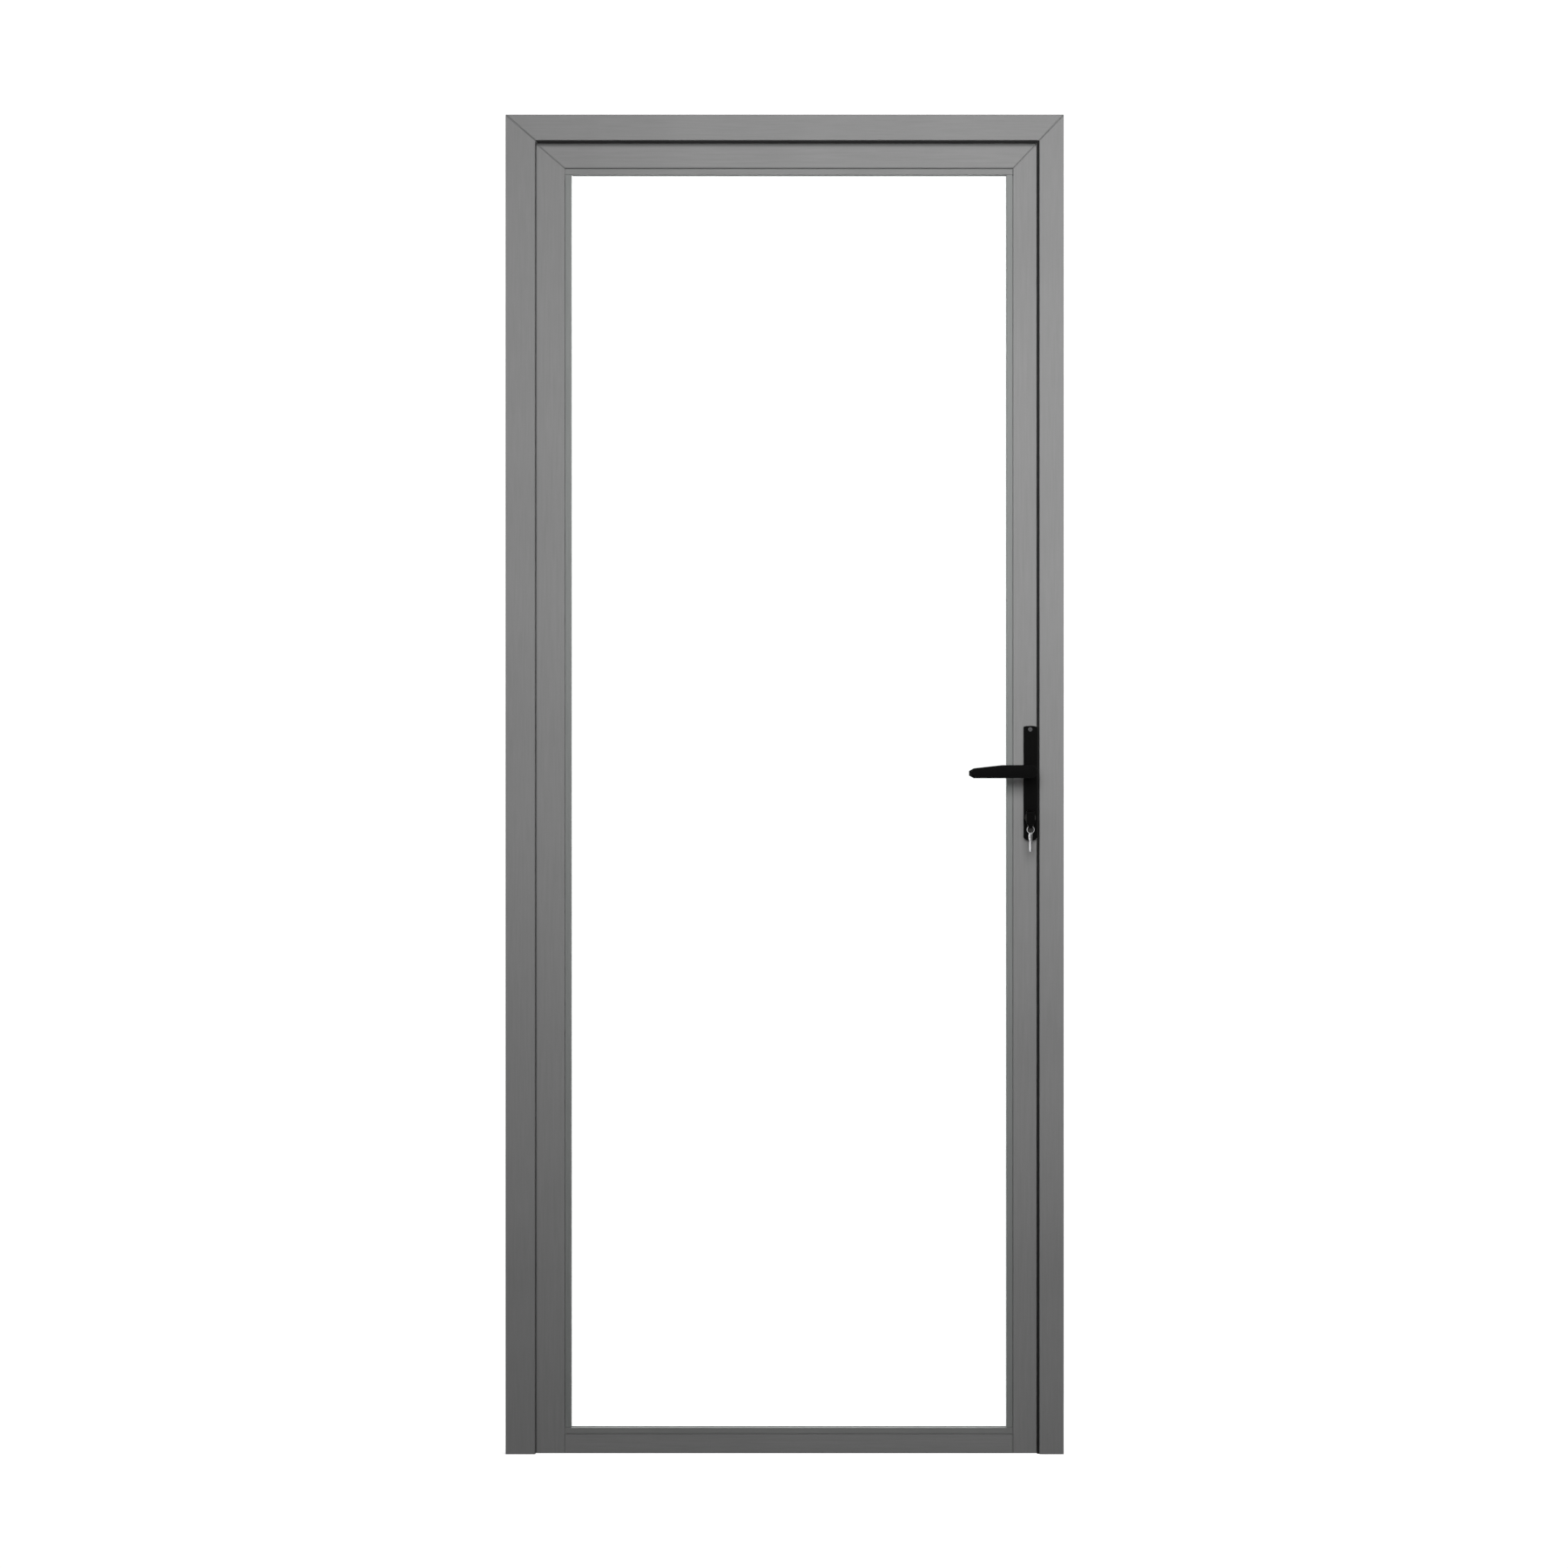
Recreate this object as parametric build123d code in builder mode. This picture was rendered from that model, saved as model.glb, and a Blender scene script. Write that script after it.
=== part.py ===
from build123d import *
import math
import os

# A framed glass door: an aluminium frame of two jambs and a head, and a glazed leaf with a lever lock.
# X runs to the right seen from the front, Y away from the viewer, Z up. The origin is on the floor,
# under the middle of the frame's width and of the leaf's thickness. All sizes are in millimetres.

# Overall size, and the widths of the members seen from the front
door_width = 875.0
door_height = 2100.0
hinge_jamb_face = 46.5
lock_jamb_face = 38.0
head_face = 40.0
hinge_stile_face = 45.4
lock_stile_face = 37.0
top_rail_face = 39.0
bottom_rail_face = 29.0

# Depths of the extrusions, their walls and the rounding of their edges
leaf_depth = 50.0
frame_proud = 6.0
frame_wall = 2.0
leaf_wall = 2.0
edge_radius = 0.8
mitre_gap = 0.3

# The stop nose of the frame, and the step in the leaf's edge that closes behind it
nose_depth = 12.0
hinge_nose = 16.0
lock_nose = 14.5
head_nose = 14.0
leaf_step_depth = 10.0
stop_groove_width = 3.0
stop_groove_depth = 3.0
stop_groove_inset = 6.0

# Gaps round the leaf: those seen from the front, and those in the rebate behind the nose
hinge_sight_gap = 1.1
lock_sight_gap = 4.5
top_sight_gap = 5.0
hinge_rebate_gap = 5.0
lock_rebate_gap = 7.0
top_rebate_gap = 5.0
floor_gap = 2.5

# Glass, its rebate and the snap-in beads
glass_thickness = 8.0
glass_back = 11.0
glass_arris = 1.0
glazing_clearance = 4.0
bead_height = 10.0
bead_wall = 1.3
bead_reveal = 0.6
bead_reveal_depth = 3.0
bead_sight_radius = 1.2
bead_foot_width = 2.6
bead_foot_depth = 1.8
bead_fit = 0.2
bead_foot_y = -12.0
rebate_floor_wall = 3.5
flange_depth = 10.0
glazing_gasket = 4.0
glazing_gasket_recess = 0.8
glazing_gasket_height = 5.0
flange_groove_width = 3.0
flange_groove_depth = 2.0
block_length = 80.0
block_width = 10.0

# Corner cleats, screw ports and the fixings to the wall
cleat_leg = 70.0
cleat_fit = 0.2
cleat_corner_clearance = 1.6
cleat_bore = 8.0
port_radius = 5.2
port_height = 7.0
port_front_y = -6.0
port_back_y = 9.0
rail_screw_radius = 2.5
rail_screw_length = 32.0
rail_screw_head_radius = 4.5
rail_screw_head = 3.0
screw_fit = 0.02
anchor_count = 4
anchor_bottom_inset = 200.0
anchor_top_inset = 310.0
anchor_strike_distance = 100.0
anchor_y = 5.0
anchor_radius = 4.5
access_radius = 8.0
cap_flange = 1.5
cap_flange_height = 1.2

# Gaskets of the stop, and the seal under the leaf
stop_gasket_width = 9.0
stop_gasket_clearance = 0.3
stop_lip_clearance = 0.8
gasket_fit = 0.1
seal_base_width = 12.0
seal_base_height = 1.4
seal_lip_width = 2.4
seal_floor_clearance = 0.4

# Butt hinges on the back
hinge_bottom_inset = 185.0
hinge_top_inset = 140.0
hinge_axis_back = 10.0
knuckle_radius = 8.5
knuckle_length = 36.0
knuckle_gap = 1.0
hinge_plate_width = 24.0
hinge_plate_thickness = 3.5
hinge_plate_offset = 6.25
pin_radius = 4.0
pin_fit = 0.02
pin_head_radius = 6.0
pin_head = 3.0
bush_radius = 5.5
bush_running_fit = 0.05
bush_flange_radius = 7.5
bush_flange_clearance = 0.1
hinge_screw_inset = 15.0
hinge_screw_spacing = 23.0

# Screws: countersunk, with heads as wide as deep
hinge_screw_radius = 2.1
hinge_screw_head_radius = 4.4
hinge_screw_length = 14.0
plate_screw_radius = 2.0
plate_screw_head_radius = 3.4
plate_screw_length = 19.0
lock_screw_radius = 2.4
lock_screw_head_radius = 4.4
lock_screw_length = 14.0
cylinder_screw_radius = 2.4
cylinder_screw_length = 30.0

# Lock: case, faceplate, bolts and strike
backset = 25.0
lever_height = 1070.0
lever_to_cylinder = 72.0
case_depth = 37.0
case_thickness = 16.0
case_wall = 1.25
case_drop = 122.0
case_rise = 48.0
case_fit = 0.3
faceplate_thickness = 3.0
faceplate_width = 22.0
faceplate_drop = 163.0
faceplate_rise = 83.0
faceplate_screw_inset = 12.0
bolt_thickness = 11.0
bolt_fit = 0.2
latch_rise = 25.0
latch_tall = 28.0
latch_throw = 12.0
latch_body = 8.0
latch_nose = 3.5
latch_tail_length = 15.0
latch_tail_tall = 8.0
latch_tail_thickness = 5.0
latch_lug_width = 4.0
latch_lug_bottom = 14.0
deadbolt_drop = 36.0
deadbolt_tall = 34.0
deadbolt_throw = 20.0
deadbolt_held = 8.0
deadbolt_recess = 0.3
strike_thickness = 2.0
strike_width = 26.0
strike_drop = 115.0
strike_rise = 90.0
strike_screw_inset = 13.0
strike_clearance = 1.3

# Follower, spindle and levers
follower_radius = 10.0
follower_boss_radius = 8.5
follower_side_clearance = 0.25
follower_running_fit = 0.05
follower_arm_reach = 16.5
follower_arm_width = 6.0
follower_arm_angle = 25.9
spindle_size = 8.0
spindle_fit = 0.1
spindle_hole_radius = 7.0
spindle_half_length = 60.0
journal_radius = 8.0
journal_running_fit = 0.05
neck_clearance = 1.0
neck_radius = 8.8
neck_flare = 8.0
grip_root_height = 20.6
grip_root_depth = 13.0
grip_tip_height = 15.8
grip_tip_depth = 10.0
grip_end_height = 7.4
grip_end_depth = 5.0
grip_projection = 47.0
grip_reach = 94.4
grip_taper_start = 50.0
grip_end_length = 7.4
grip_corner = 3.2
grip_round = 1.2
grub_radius = 2.5
grub_length = 5.0
grub_y = 44.0

# Backplates
plate_width = 21.0
plate_drop = 107.0
plate_rise = 72.0
plate_thickness = 8.0
plate_wall = 2.0
plate_arch = 1.5
plate_corner = 5.5
plate_edge = 1.4
plate_screw_inset_top = 5.7
plate_screw_inset_bottom = 5.2
plate_boss_radius = 4.8

# Cylinder, key, ring and spare key
cylinder_radius = 8.5
cylinder_stem_width = 10.0
cylinder_tall = 33.0
cylinder_half_length = 36.0
cylinder_fit = 0.15
plug_radius = 6.5
plug_running_fit = 0.05
cam_half_width = 5.0
cam_clearance = 0.2
cam_ring_radius = 8.3
cam_reach = 13.0
cam_width = 7.0
key_thickness = 2.2
key_blade_height = 8.4
key_blade_length = 26.0
key_shank = 4.0
key_fit = 0.1
key_cut_depth = 2.2
key_cut_count = 4
key_cut_spacing = 5.0
key_first_cut = 4.0
key_head_length = 26.0
key_head_top = 11.3
key_head_bottom = 13.6
key_head_thickness = 13.0
key_head_round = 5.0
key_head_bevel = 1.8
key_head_taper_start = 9.0
key_eye_thickness = 6.4
key_eye_radius = 4.2
key_eye_drop = 13.0
key_hole_radius = 2.4
key_hole_inset = 6.4
ring_radius = 5.6
ring_wire = 0.8
ring_drop = 13.2
spare_thickness = 2.8
spare_length = 31.9
spare_bow_radius = 8.0
spare_hole_radius = 2.6
spare_hole_inset = 4.4
spare_blade_height = 8.0
spare_seat_clearance = 0.2
spare_turn = 16.0

# Places that follow from these sizes
left = -door_width / 2
right = door_width / 2
leaf_front = -leaf_depth / 2
leaf_back = leaf_depth / 2
frame_front = leaf_front - frame_proud
frame_back = leaf_back
nose_back = frame_front + nose_depth
step_back = leaf_front + leaf_step_depth
hinge_rebate_x = left + hinge_jamb_face - hinge_nose
lock_rebate_x = right - lock_jamb_face + lock_nose
head_rebate_z = door_height - head_face + head_nose
leaf_left = hinge_rebate_x + hinge_rebate_gap
leaf_right = lock_rebate_x - lock_rebate_gap
leaf_top = head_rebate_z - top_rebate_gap
leaf_bottom = floor_gap
hinge_face_x = left + hinge_jamb_face + hinge_sight_gap
lock_face_x = right - lock_jamb_face - lock_sight_gap
top_face_z = door_height - head_face - top_sight_gap
rebate_left = hinge_face_x + hinge_stile_face
rebate_right = lock_face_x - lock_stile_face
rebate_top = top_face_z - top_rail_face
rebate_bottom = leaf_bottom + bottom_rail_face
flange_front = leaf_back - flange_depth
glass_front = glass_back - glass_thickness
bead_back = glass_front - glazing_gasket
hinge_x = (hinge_rebate_x + leaf_left) / 2
hinge_y = leaf_back + hinge_axis_back
hinge_tall = 3 * knuckle_length + 2 * knuckle_gap
hinge_lower_z = hinge_bottom_inset
hinge_upper_z = door_height - hinge_top_inset - hinge_tall
hinge_middle_z = (hinge_lower_z + hinge_upper_z) / 2
hinge_heights = (hinge_lower_z, hinge_middle_z, hinge_upper_z)
hinge_screw_offsets = (
    hinge_screw_inset,
    hinge_screw_inset + hinge_screw_spacing,
    hinge_tall - hinge_screw_inset - hinge_screw_spacing,
    hinge_tall - hinge_screw_inset,
)
anchor_spacing = (door_height - anchor_top_inset - anchor_bottom_inset) / (anchor_count - 1)
anchor_heights = [anchor_bottom_inset + number * anchor_spacing for number in range(anchor_count)]
lock_anchor_heights = (
    anchor_bottom_inset,
    lever_height - strike_drop - anchor_strike_distance,
    lever_height + strike_rise + anchor_strike_distance,
    door_height - anchor_top_inset,
)
case_bottom = lever_height - case_drop
case_top = lever_height + case_rise
faceplate_bottom = lever_height - faceplate_drop
faceplate_top = lever_height + faceplate_rise
strike_bottom = lever_height - strike_drop
strike_top = lever_height + strike_rise
plate_bottom = lever_height - plate_drop
plate_top = lever_height + plate_rise
faceplate_front = leaf_right + faceplate_thickness
lever_x = faceplate_front - backset
cylinder_z = lever_height - lever_to_cylinder
latch_z = lever_height + latch_rise
deadbolt_z = lever_height - deadbolt_drop
deadbolt_length = deadbolt_throw + deadbolt_held
plate_front = leaf_front - plate_thickness
key_head_front = -cylinder_half_length - key_shank
key_hole_y = key_head_front - key_head_length + key_hole_inset
ring_centre_z = cylinder_z - ring_drop - ring_radius

# Directions that a screw's head faces, as turns of a screw drawn with its head facing up
facing_front = (90, 0, 0)
facing_back = (-90, 0, 0)
facing_right = (0, 90, 0)
facing_left = (0, -90, 0)

os.makedirs("parts", exist_ok=True)


def save(piece, name):
    """Labels a finished piece and writes it to a file of its own."""
    piece.label = name
    export_step(piece, f"parts/{name}.step")


def mitre_plane(corner_x, corner_z, width, height):
    """Joint plane of two mitred members; width is signed towards the door's middle."""
    toward = 1 if width > 0 else -1
    return Plane(origin=(corner_x, 0, corner_z), x_dir=(0, 1, 0), z_dir=(toward * height, 0, abs(width)))


def frame_profile(face, nose):
    """Frame extrusion: a hollow tube with a stop nose; across is in from the wall, up is the depth."""
    tube = face - nose
    groove_u = face - stop_groove_inset
    groove_v = nose_back - stop_groove_depth / 2
    with BuildSketch() as profile:
        with BuildLine():
            Polyline(
                (0, frame_front),
                (face, frame_front),
                (face, nose_back),
                (tube, nose_back),
                (tube, frame_back),
                (0, frame_back),
                close=True,
            )
        make_face()
        offset(amount=-frame_wall, kind=Kind.INTERSECTION, mode=Mode.SUBTRACT)
        with Locations((tube - frame_wall / 2, (frame_front + nose_back) / 2)):
            Rectangle(frame_wall, nose_depth)
        with Locations((groove_u, groove_v - frame_wall / 2)):
            Rectangle(stop_groove_width + 2 * frame_wall, stop_groove_depth + frame_wall)
        with Locations((groove_u, groove_v)):
            Rectangle(stop_groove_width, stop_groove_depth, mode=Mode.SUBTRACT)
        corners = profile.vertices().sort_by(Axis.Y).group_by(Axis.Y)[0]
        fillet(corners, radius=edge_radius)
    return profile.sketch


def leaf_profile(step, face, ports=False):
    """Leaf extrusion: a hollow tube with a glazing rebate; across is in from the leaf's edge."""
    total = step + face
    edge = [(0, leaf_front)]
    if step > 0:
        edge = [(0, step_back), (step, step_back), (step, leaf_front)]
    floor_front = leaf_front + rebate_floor_wall
    groove_width = bead_foot_width + 2 * bead_fit
    groove_depth = bead_foot_depth + bead_fit
    flange_groove_u = total + bead_height / 2
    with BuildSketch() as profile:
        with BuildLine():
            Polyline(
                *edge,
                (total, leaf_front),
                (total, flange_front),
                (total + bead_height, flange_front),
                (total + bead_height, leaf_back),
                (0, leaf_back),
                close=True,
            )
        make_face()
        offset(amount=-leaf_wall, kind=Kind.INTERSECTION, mode=Mode.SUBTRACT)
        with Locations((total - rebate_floor_wall / 2, (floor_front + flange_front) / 2)):
            Rectangle(rebate_floor_wall, flange_front - floor_front)
        with Locations((total - groove_depth / 2, bead_foot_y)):
            Rectangle(groove_depth, groove_width, mode=Mode.SUBTRACT)
        with Locations((flange_groove_u, flange_front + (flange_groove_depth + leaf_wall) / 2)):
            Rectangle(flange_groove_width + 2 * leaf_wall, flange_groove_depth + leaf_wall)
        with Locations((flange_groove_u, flange_front + flange_groove_depth / 2)):
            Rectangle(flange_groove_width, flange_groove_depth, mode=Mode.SUBTRACT)
        if ports:
            with Locations(*port_places()):
                Circle(port_radius)
            with Locations(*port_places()):
                Circle(rail_screw_radius + screw_fit, mode=Mode.SUBTRACT)
        front = profile.vertices().group_by(Axis.Y)[0]
        fillet(front, radius=edge_radius)
    return profile.sketch


def port_places():
    """Centres of the two screw ports that stand on the bottom wall of the bottom rail."""
    return [(port_height, port_front_y), (port_height, port_back_y)]


def countersunk_screw(shank_radius, head_radius, length):
    """A screw with the top of its head at the origin and its shank pointing down."""
    head = head_radius - shank_radius
    with BuildPart() as screw:
        with BuildSketch(Plane.XZ):
            with BuildLine():
                Polyline(
                    (0, 0),
                    (head_radius, 0),
                    (shank_radius, -head),
                    (shank_radius, -length),
                    (0, -length),
                    close=True,
                )
            make_face()
        revolve(axis=Axis.Z)
    return screw.part


def copies(piece, places):
    """A group of separate copies of one piece, such as the screws of one kind."""
    with BuildPart() as group:
        with Locations(*places):
            add(piece)
    return group.part


def cylinder_outline(clearance):
    """Keyhole outline of the lock cylinder, about its plug's axis."""
    stem_bottom = cylinder_radius - cylinder_tall
    stem_radius = cylinder_stem_width / 2
    with BuildSketch() as outline:
        Circle(cylinder_radius + clearance)
        with Locations((0, (stem_bottom + stem_radius) / 2)):
            Rectangle(cylinder_stem_width + 2 * clearance, -stem_bottom - stem_radius)
        with Locations((0, stem_bottom + stem_radius)):
            Circle(stem_radius + clearance)
    return outline.sketch


# Frame members: the jambs and the head are cut from one family of extrusion and mitred at the top

left_mitre = mitre_plane(left, door_height, hinge_jamb_face, head_face)
right_mitre = mitre_plane(right, door_height, -lock_jamb_face, head_face)
hinge_jamb_profile = frame_profile(hinge_jamb_face, hinge_nose)
lock_jamb_profile = frame_profile(lock_jamb_face, lock_nose)
head_profile = frame_profile(head_face, head_nose)

hinge_jamb_plane = Plane(origin=(left, 0, 0), x_dir=(1, 0, 0), z_dir=(0, 0, 1))
lock_jamb_plane = Plane(origin=(right, 0, door_height), x_dir=(-1, 0, 0), z_dir=(0, 0, -1))
head_plane = Plane(origin=(left, 0, door_height), x_dir=(0, 0, -1), z_dir=(1, 0, 0))

hinge_screw = countersunk_screw(hinge_screw_radius, hinge_screw_head_radius, hinge_screw_length)
hinge_screw_heights = [z + offset for z in hinge_heights for offset in hinge_screw_offsets]
hinge_plate_middle = hinge_plate_offset + hinge_plate_width / 2
strike_screw_heights = (strike_bottom + strike_screw_inset, strike_top - strike_screw_inset)
strike_openings = [
    (latch_z, latch_tall + 2 * strike_clearance),
    (deadbolt_z, deadbolt_tall + 2 * strike_clearance),
]
strike_opening_width = bolt_thickness + 2 * strike_clearance

with BuildPart() as hinge_jamb:
    with BuildSketch(hinge_jamb_plane):
        add(hinge_jamb_profile)
    extrude(amount=door_height)
    split(bisect_by=left_mitre.offset(-mitre_gap / 2), keep=Keep.BOTTOM)
    with BuildSketch(Plane.YZ.offset(left)):
        with Locations(*[(anchor_y, z) for z in anchor_heights]):
            Circle(anchor_radius)
    extrude(amount=frame_wall, mode=Mode.SUBTRACT)
    with BuildSketch(Plane.YZ.offset(hinge_rebate_x)):
        with Locations(*[(anchor_y, z) for z in anchor_heights]):
            Circle(access_radius)
    extrude(amount=-frame_wall, mode=Mode.SUBTRACT)
    with BuildSketch(Plane.XZ.offset(-frame_back)):
        with Locations(*[(hinge_x - hinge_plate_middle, z) for z in hinge_screw_heights]):
            Circle(hinge_screw_radius + screw_fit)
    extrude(amount=frame_wall, mode=Mode.SUBTRACT)
save(hinge_jamb.part, "jamb_hinge_side")

with BuildPart() as lock_jamb:
    with BuildSketch(lock_jamb_plane):
        add(lock_jamb_profile)
    extrude(amount=door_height)
    split(bisect_by=right_mitre.offset(-mitre_gap / 2), keep=Keep.BOTTOM)
    with BuildSketch(Plane.YZ.offset(right)):
        with Locations(*[(anchor_y, z) for z in lock_anchor_heights]):
            Circle(anchor_radius)
    extrude(amount=-frame_wall, mode=Mode.SUBTRACT)
    with BuildSketch(Plane.YZ.offset(lock_rebate_x)):
        with Locations(*[(anchor_y, z) for z in lock_anchor_heights]):
            Circle(access_radius)
        for middle, tall in strike_openings:
            with Locations((0, middle)):
                Rectangle(strike_opening_width, tall)
        with Locations(*[(0, z) for z in strike_screw_heights]):
            Circle(lock_screw_radius + screw_fit)
    extrude(amount=frame_wall, mode=Mode.SUBTRACT)
save(lock_jamb.part, "jamb_lock_side")

with BuildPart() as head:
    with BuildSketch(head_plane):
        add(head_profile)
    extrude(amount=door_width)
    split(bisect_by=left_mitre.offset(mitre_gap / 2), keep=Keep.TOP)
    split(bisect_by=right_mitre.offset(mitre_gap / 2), keep=Keep.TOP)
save(head.part, "head")


# Corner cleats: angle blocks that fill the chambers of two mitred members and hold them together


def corner_cleat(outer_x, inner_x, outer_z, inner_z, front, back):
    """An angle block; its legs run down from the corner and in towards the door's middle."""
    toward = 1 if inner_x > outer_x else -1
    foot_z = outer_z - cleat_leg
    tip_x = outer_x + toward * cleat_leg
    with BuildPart() as cleat:
        with BuildSketch(Plane.XZ.offset(-front)):
            with BuildLine():
                Polyline(
                    (outer_x, outer_z),
                    (tip_x, outer_z),
                    (tip_x, inner_z),
                    (inner_x, inner_z),
                    (inner_x, foot_z),
                    (outer_x, foot_z),
                    close=True,
                )
            make_face()
            middle_x = (outer_x + inner_x) / 2
            middle_z = (outer_z + inner_z) / 2
            with Locations((middle_x, foot_z + cleat_bore), (tip_x - toward * cleat_bore, middle_z)):
                Circle(cleat_bore / 2, mode=Mode.SUBTRACT)
        extrude(amount=-(back - front))
    return cleat.part


frame_inset = frame_wall + cleat_fit
frame_cleat_front = frame_front + frame_inset
frame_cleat_back = frame_back - frame_inset
left_frame_cleat = corner_cleat(
    left + frame_inset,
    hinge_rebate_x - frame_inset - cleat_corner_clearance,
    door_height - frame_inset,
    head_rebate_z + frame_inset + cleat_corner_clearance,
    frame_cleat_front,
    frame_cleat_back,
)
right_frame_cleat = corner_cleat(
    right - frame_inset,
    lock_rebate_x + frame_inset + cleat_corner_clearance,
    door_height - frame_inset,
    head_rebate_z + frame_inset + cleat_corner_clearance,
    frame_cleat_front,
    frame_cleat_back,
)
with BuildPart() as frame_cleats:
    add(left_frame_cleat)
    add(right_frame_cleat)
save(frame_cleats.part, "frame_corner_cleats")


# Stop gaskets: rubber strips pushed into the groove of the nose, with a lip across the front gap


def stop_gasket_profile(face, sight_gap):
    """Gasket section in the same axes as the frame's profile."""
    body_left = face - stop_gasket_width
    body_right = face + sight_gap - stop_lip_clearance
    body_top = step_back - stop_gasket_clearance
    groove_u = face - stop_groove_inset
    foot = stop_groove_depth - gasket_fit
    with BuildSketch() as section:
        with BuildLine():
            Polyline(
                (body_left, nose_back),
                (body_right, nose_back),
                (body_right, body_top),
                (body_left, body_top),
                close=True,
            )
        make_face()
        fillet(section.vertices().group_by(Axis.Y)[-1], radius=edge_radius)
        with Locations((groove_u, nose_back - foot / 2)):
            Rectangle(stop_groove_width - 2 * gasket_fit, foot)
    return section.sketch


hinge_gasket_profile = stop_gasket_profile(hinge_jamb_face, hinge_sight_gap)
lock_gasket_profile = stop_gasket_profile(lock_jamb_face, lock_sight_gap)
head_gasket_profile = stop_gasket_profile(head_face, top_sight_gap)

with BuildPart() as hinge_gasket:
    with BuildSketch(hinge_jamb_plane):
        add(hinge_gasket_profile)
    extrude(amount=door_height)
    split(bisect_by=left_mitre.offset(-mitre_gap / 2), keep=Keep.BOTTOM)
save(hinge_gasket.part, "stop_gasket_hinge_side")

with BuildPart() as lock_gasket:
    with BuildSketch(lock_jamb_plane):
        add(lock_gasket_profile)
    extrude(amount=door_height)
    split(bisect_by=right_mitre.offset(-mitre_gap / 2), keep=Keep.BOTTOM)
save(lock_gasket.part, "stop_gasket_lock_side")

with BuildPart() as head_gasket:
    with BuildSketch(head_plane):
        add(head_gasket_profile)
    extrude(amount=door_width)
    split(bisect_by=left_mitre.offset(mitre_gap / 2), keep=Keep.TOP)
    split(bisect_by=right_mitre.offset(mitre_gap / 2), keep=Keep.TOP)
save(head_gasket.part, "stop_gasket_head")


# Caps: moulded plugs that close the access holes over the wall fixings

with BuildPart() as cap_at_hinge_side:
    Cylinder(access_radius - screw_fit, frame_wall, align=(Align.CENTER, Align.CENTER, Align.MAX))
    Cylinder(
        access_radius + cap_flange,
        cap_flange_height,
        align=(Align.CENTER, Align.CENTER, Align.MIN),
    )
cap_places = [Location((hinge_rebate_x, anchor_y, z), facing_right) for z in anchor_heights]
cap_places += [Location((lock_rebate_x, anchor_y, z), facing_left) for z in lock_anchor_heights]
save(copies(cap_at_hinge_side.part, cap_places), "anchor_hole_caps")


# Strike plate: a flat steel plate screwed over the pockets in the lock jamb

strike_front_x = lock_rebate_x - strike_thickness
strike_middle = (strike_bottom + strike_top) / 2
strike_screw_places = [Location((strike_front_x, 0, z), facing_left) for z in strike_screw_heights]
lock_screw = countersunk_screw(lock_screw_radius, lock_screw_head_radius, lock_screw_length)
lock_screw_bore = lock_screw_radius + screw_fit
lock_screw_seat = lock_screw_head_radius + screw_fit
with BuildPart() as strike:
    with BuildSketch(Plane.YZ.offset(strike_front_x)):
        with Locations((0, strike_middle)):
            SlotOverall(strike_top - strike_bottom, strike_width, rotation=90)
        for middle, tall in strike_openings:
            with Locations((0, middle)):
                RectangleRounded(strike_opening_width, tall, edge_radius, mode=Mode.SUBTRACT)
    extrude(amount=strike_thickness)
    with Locations(*strike_screw_places):
        CounterSinkHole(lock_screw_bore, lock_screw_seat, strike_thickness)
save(strike.part, "strike_plate")
save(copies(lock_screw, strike_screw_places), "strike_screws")


# Leaf members: stiles and top rail mitred, bottom rail fitted between the stiles

hinge_step = hinge_face_x - leaf_left
lock_step = leaf_right - lock_face_x
top_step = leaf_top - top_face_z
hinge_stile_profile = leaf_profile(hinge_step, hinge_stile_face)
lock_stile_profile = leaf_profile(lock_step, lock_stile_face)
top_rail_profile = leaf_profile(top_step, top_rail_face)
bottom_rail_profile = leaf_profile(0, bottom_rail_face, ports=True)
leaf_left_mitre = mitre_plane(hinge_face_x, top_face_z, hinge_stile_face, top_rail_face)
leaf_right_mitre = mitre_plane(lock_face_x, top_face_z, -lock_stile_face, top_rail_face)
leaf_height = leaf_top - leaf_bottom
rail_screw_places = [(leaf_y, leaf_bottom + port_z) for port_z, leaf_y in port_places()]

with BuildPart() as hinge_stile:
    with BuildSketch(Plane(origin=(leaf_left, 0, leaf_bottom), x_dir=(1, 0, 0), z_dir=(0, 0, 1))):
        add(hinge_stile_profile)
    extrude(amount=leaf_height)
    split(bisect_by=leaf_left_mitre.offset(-mitre_gap / 2), keep=Keep.BOTTOM)
    with BuildSketch(Plane.XZ.offset(-leaf_back)):
        with Locations(*[(hinge_x + hinge_plate_middle, z) for z in hinge_screw_heights]):
            Circle(hinge_screw_radius + screw_fit)
    extrude(amount=leaf_wall, mode=Mode.SUBTRACT)
    with BuildSketch(Plane.YZ.offset(leaf_left)):
        with Locations(*rail_screw_places):
            Circle(rail_screw_head_radius + cleat_fit)
    extrude(amount=leaf_wall, mode=Mode.SUBTRACT)
    with BuildSketch(Plane.YZ.offset(rebate_left)):
        with Locations(*rail_screw_places):
            Circle(rail_screw_radius + screw_fit)
    extrude(amount=-rebate_floor_wall, mode=Mode.SUBTRACT)
save(hinge_stile.part, "hinge_stile")

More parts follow.
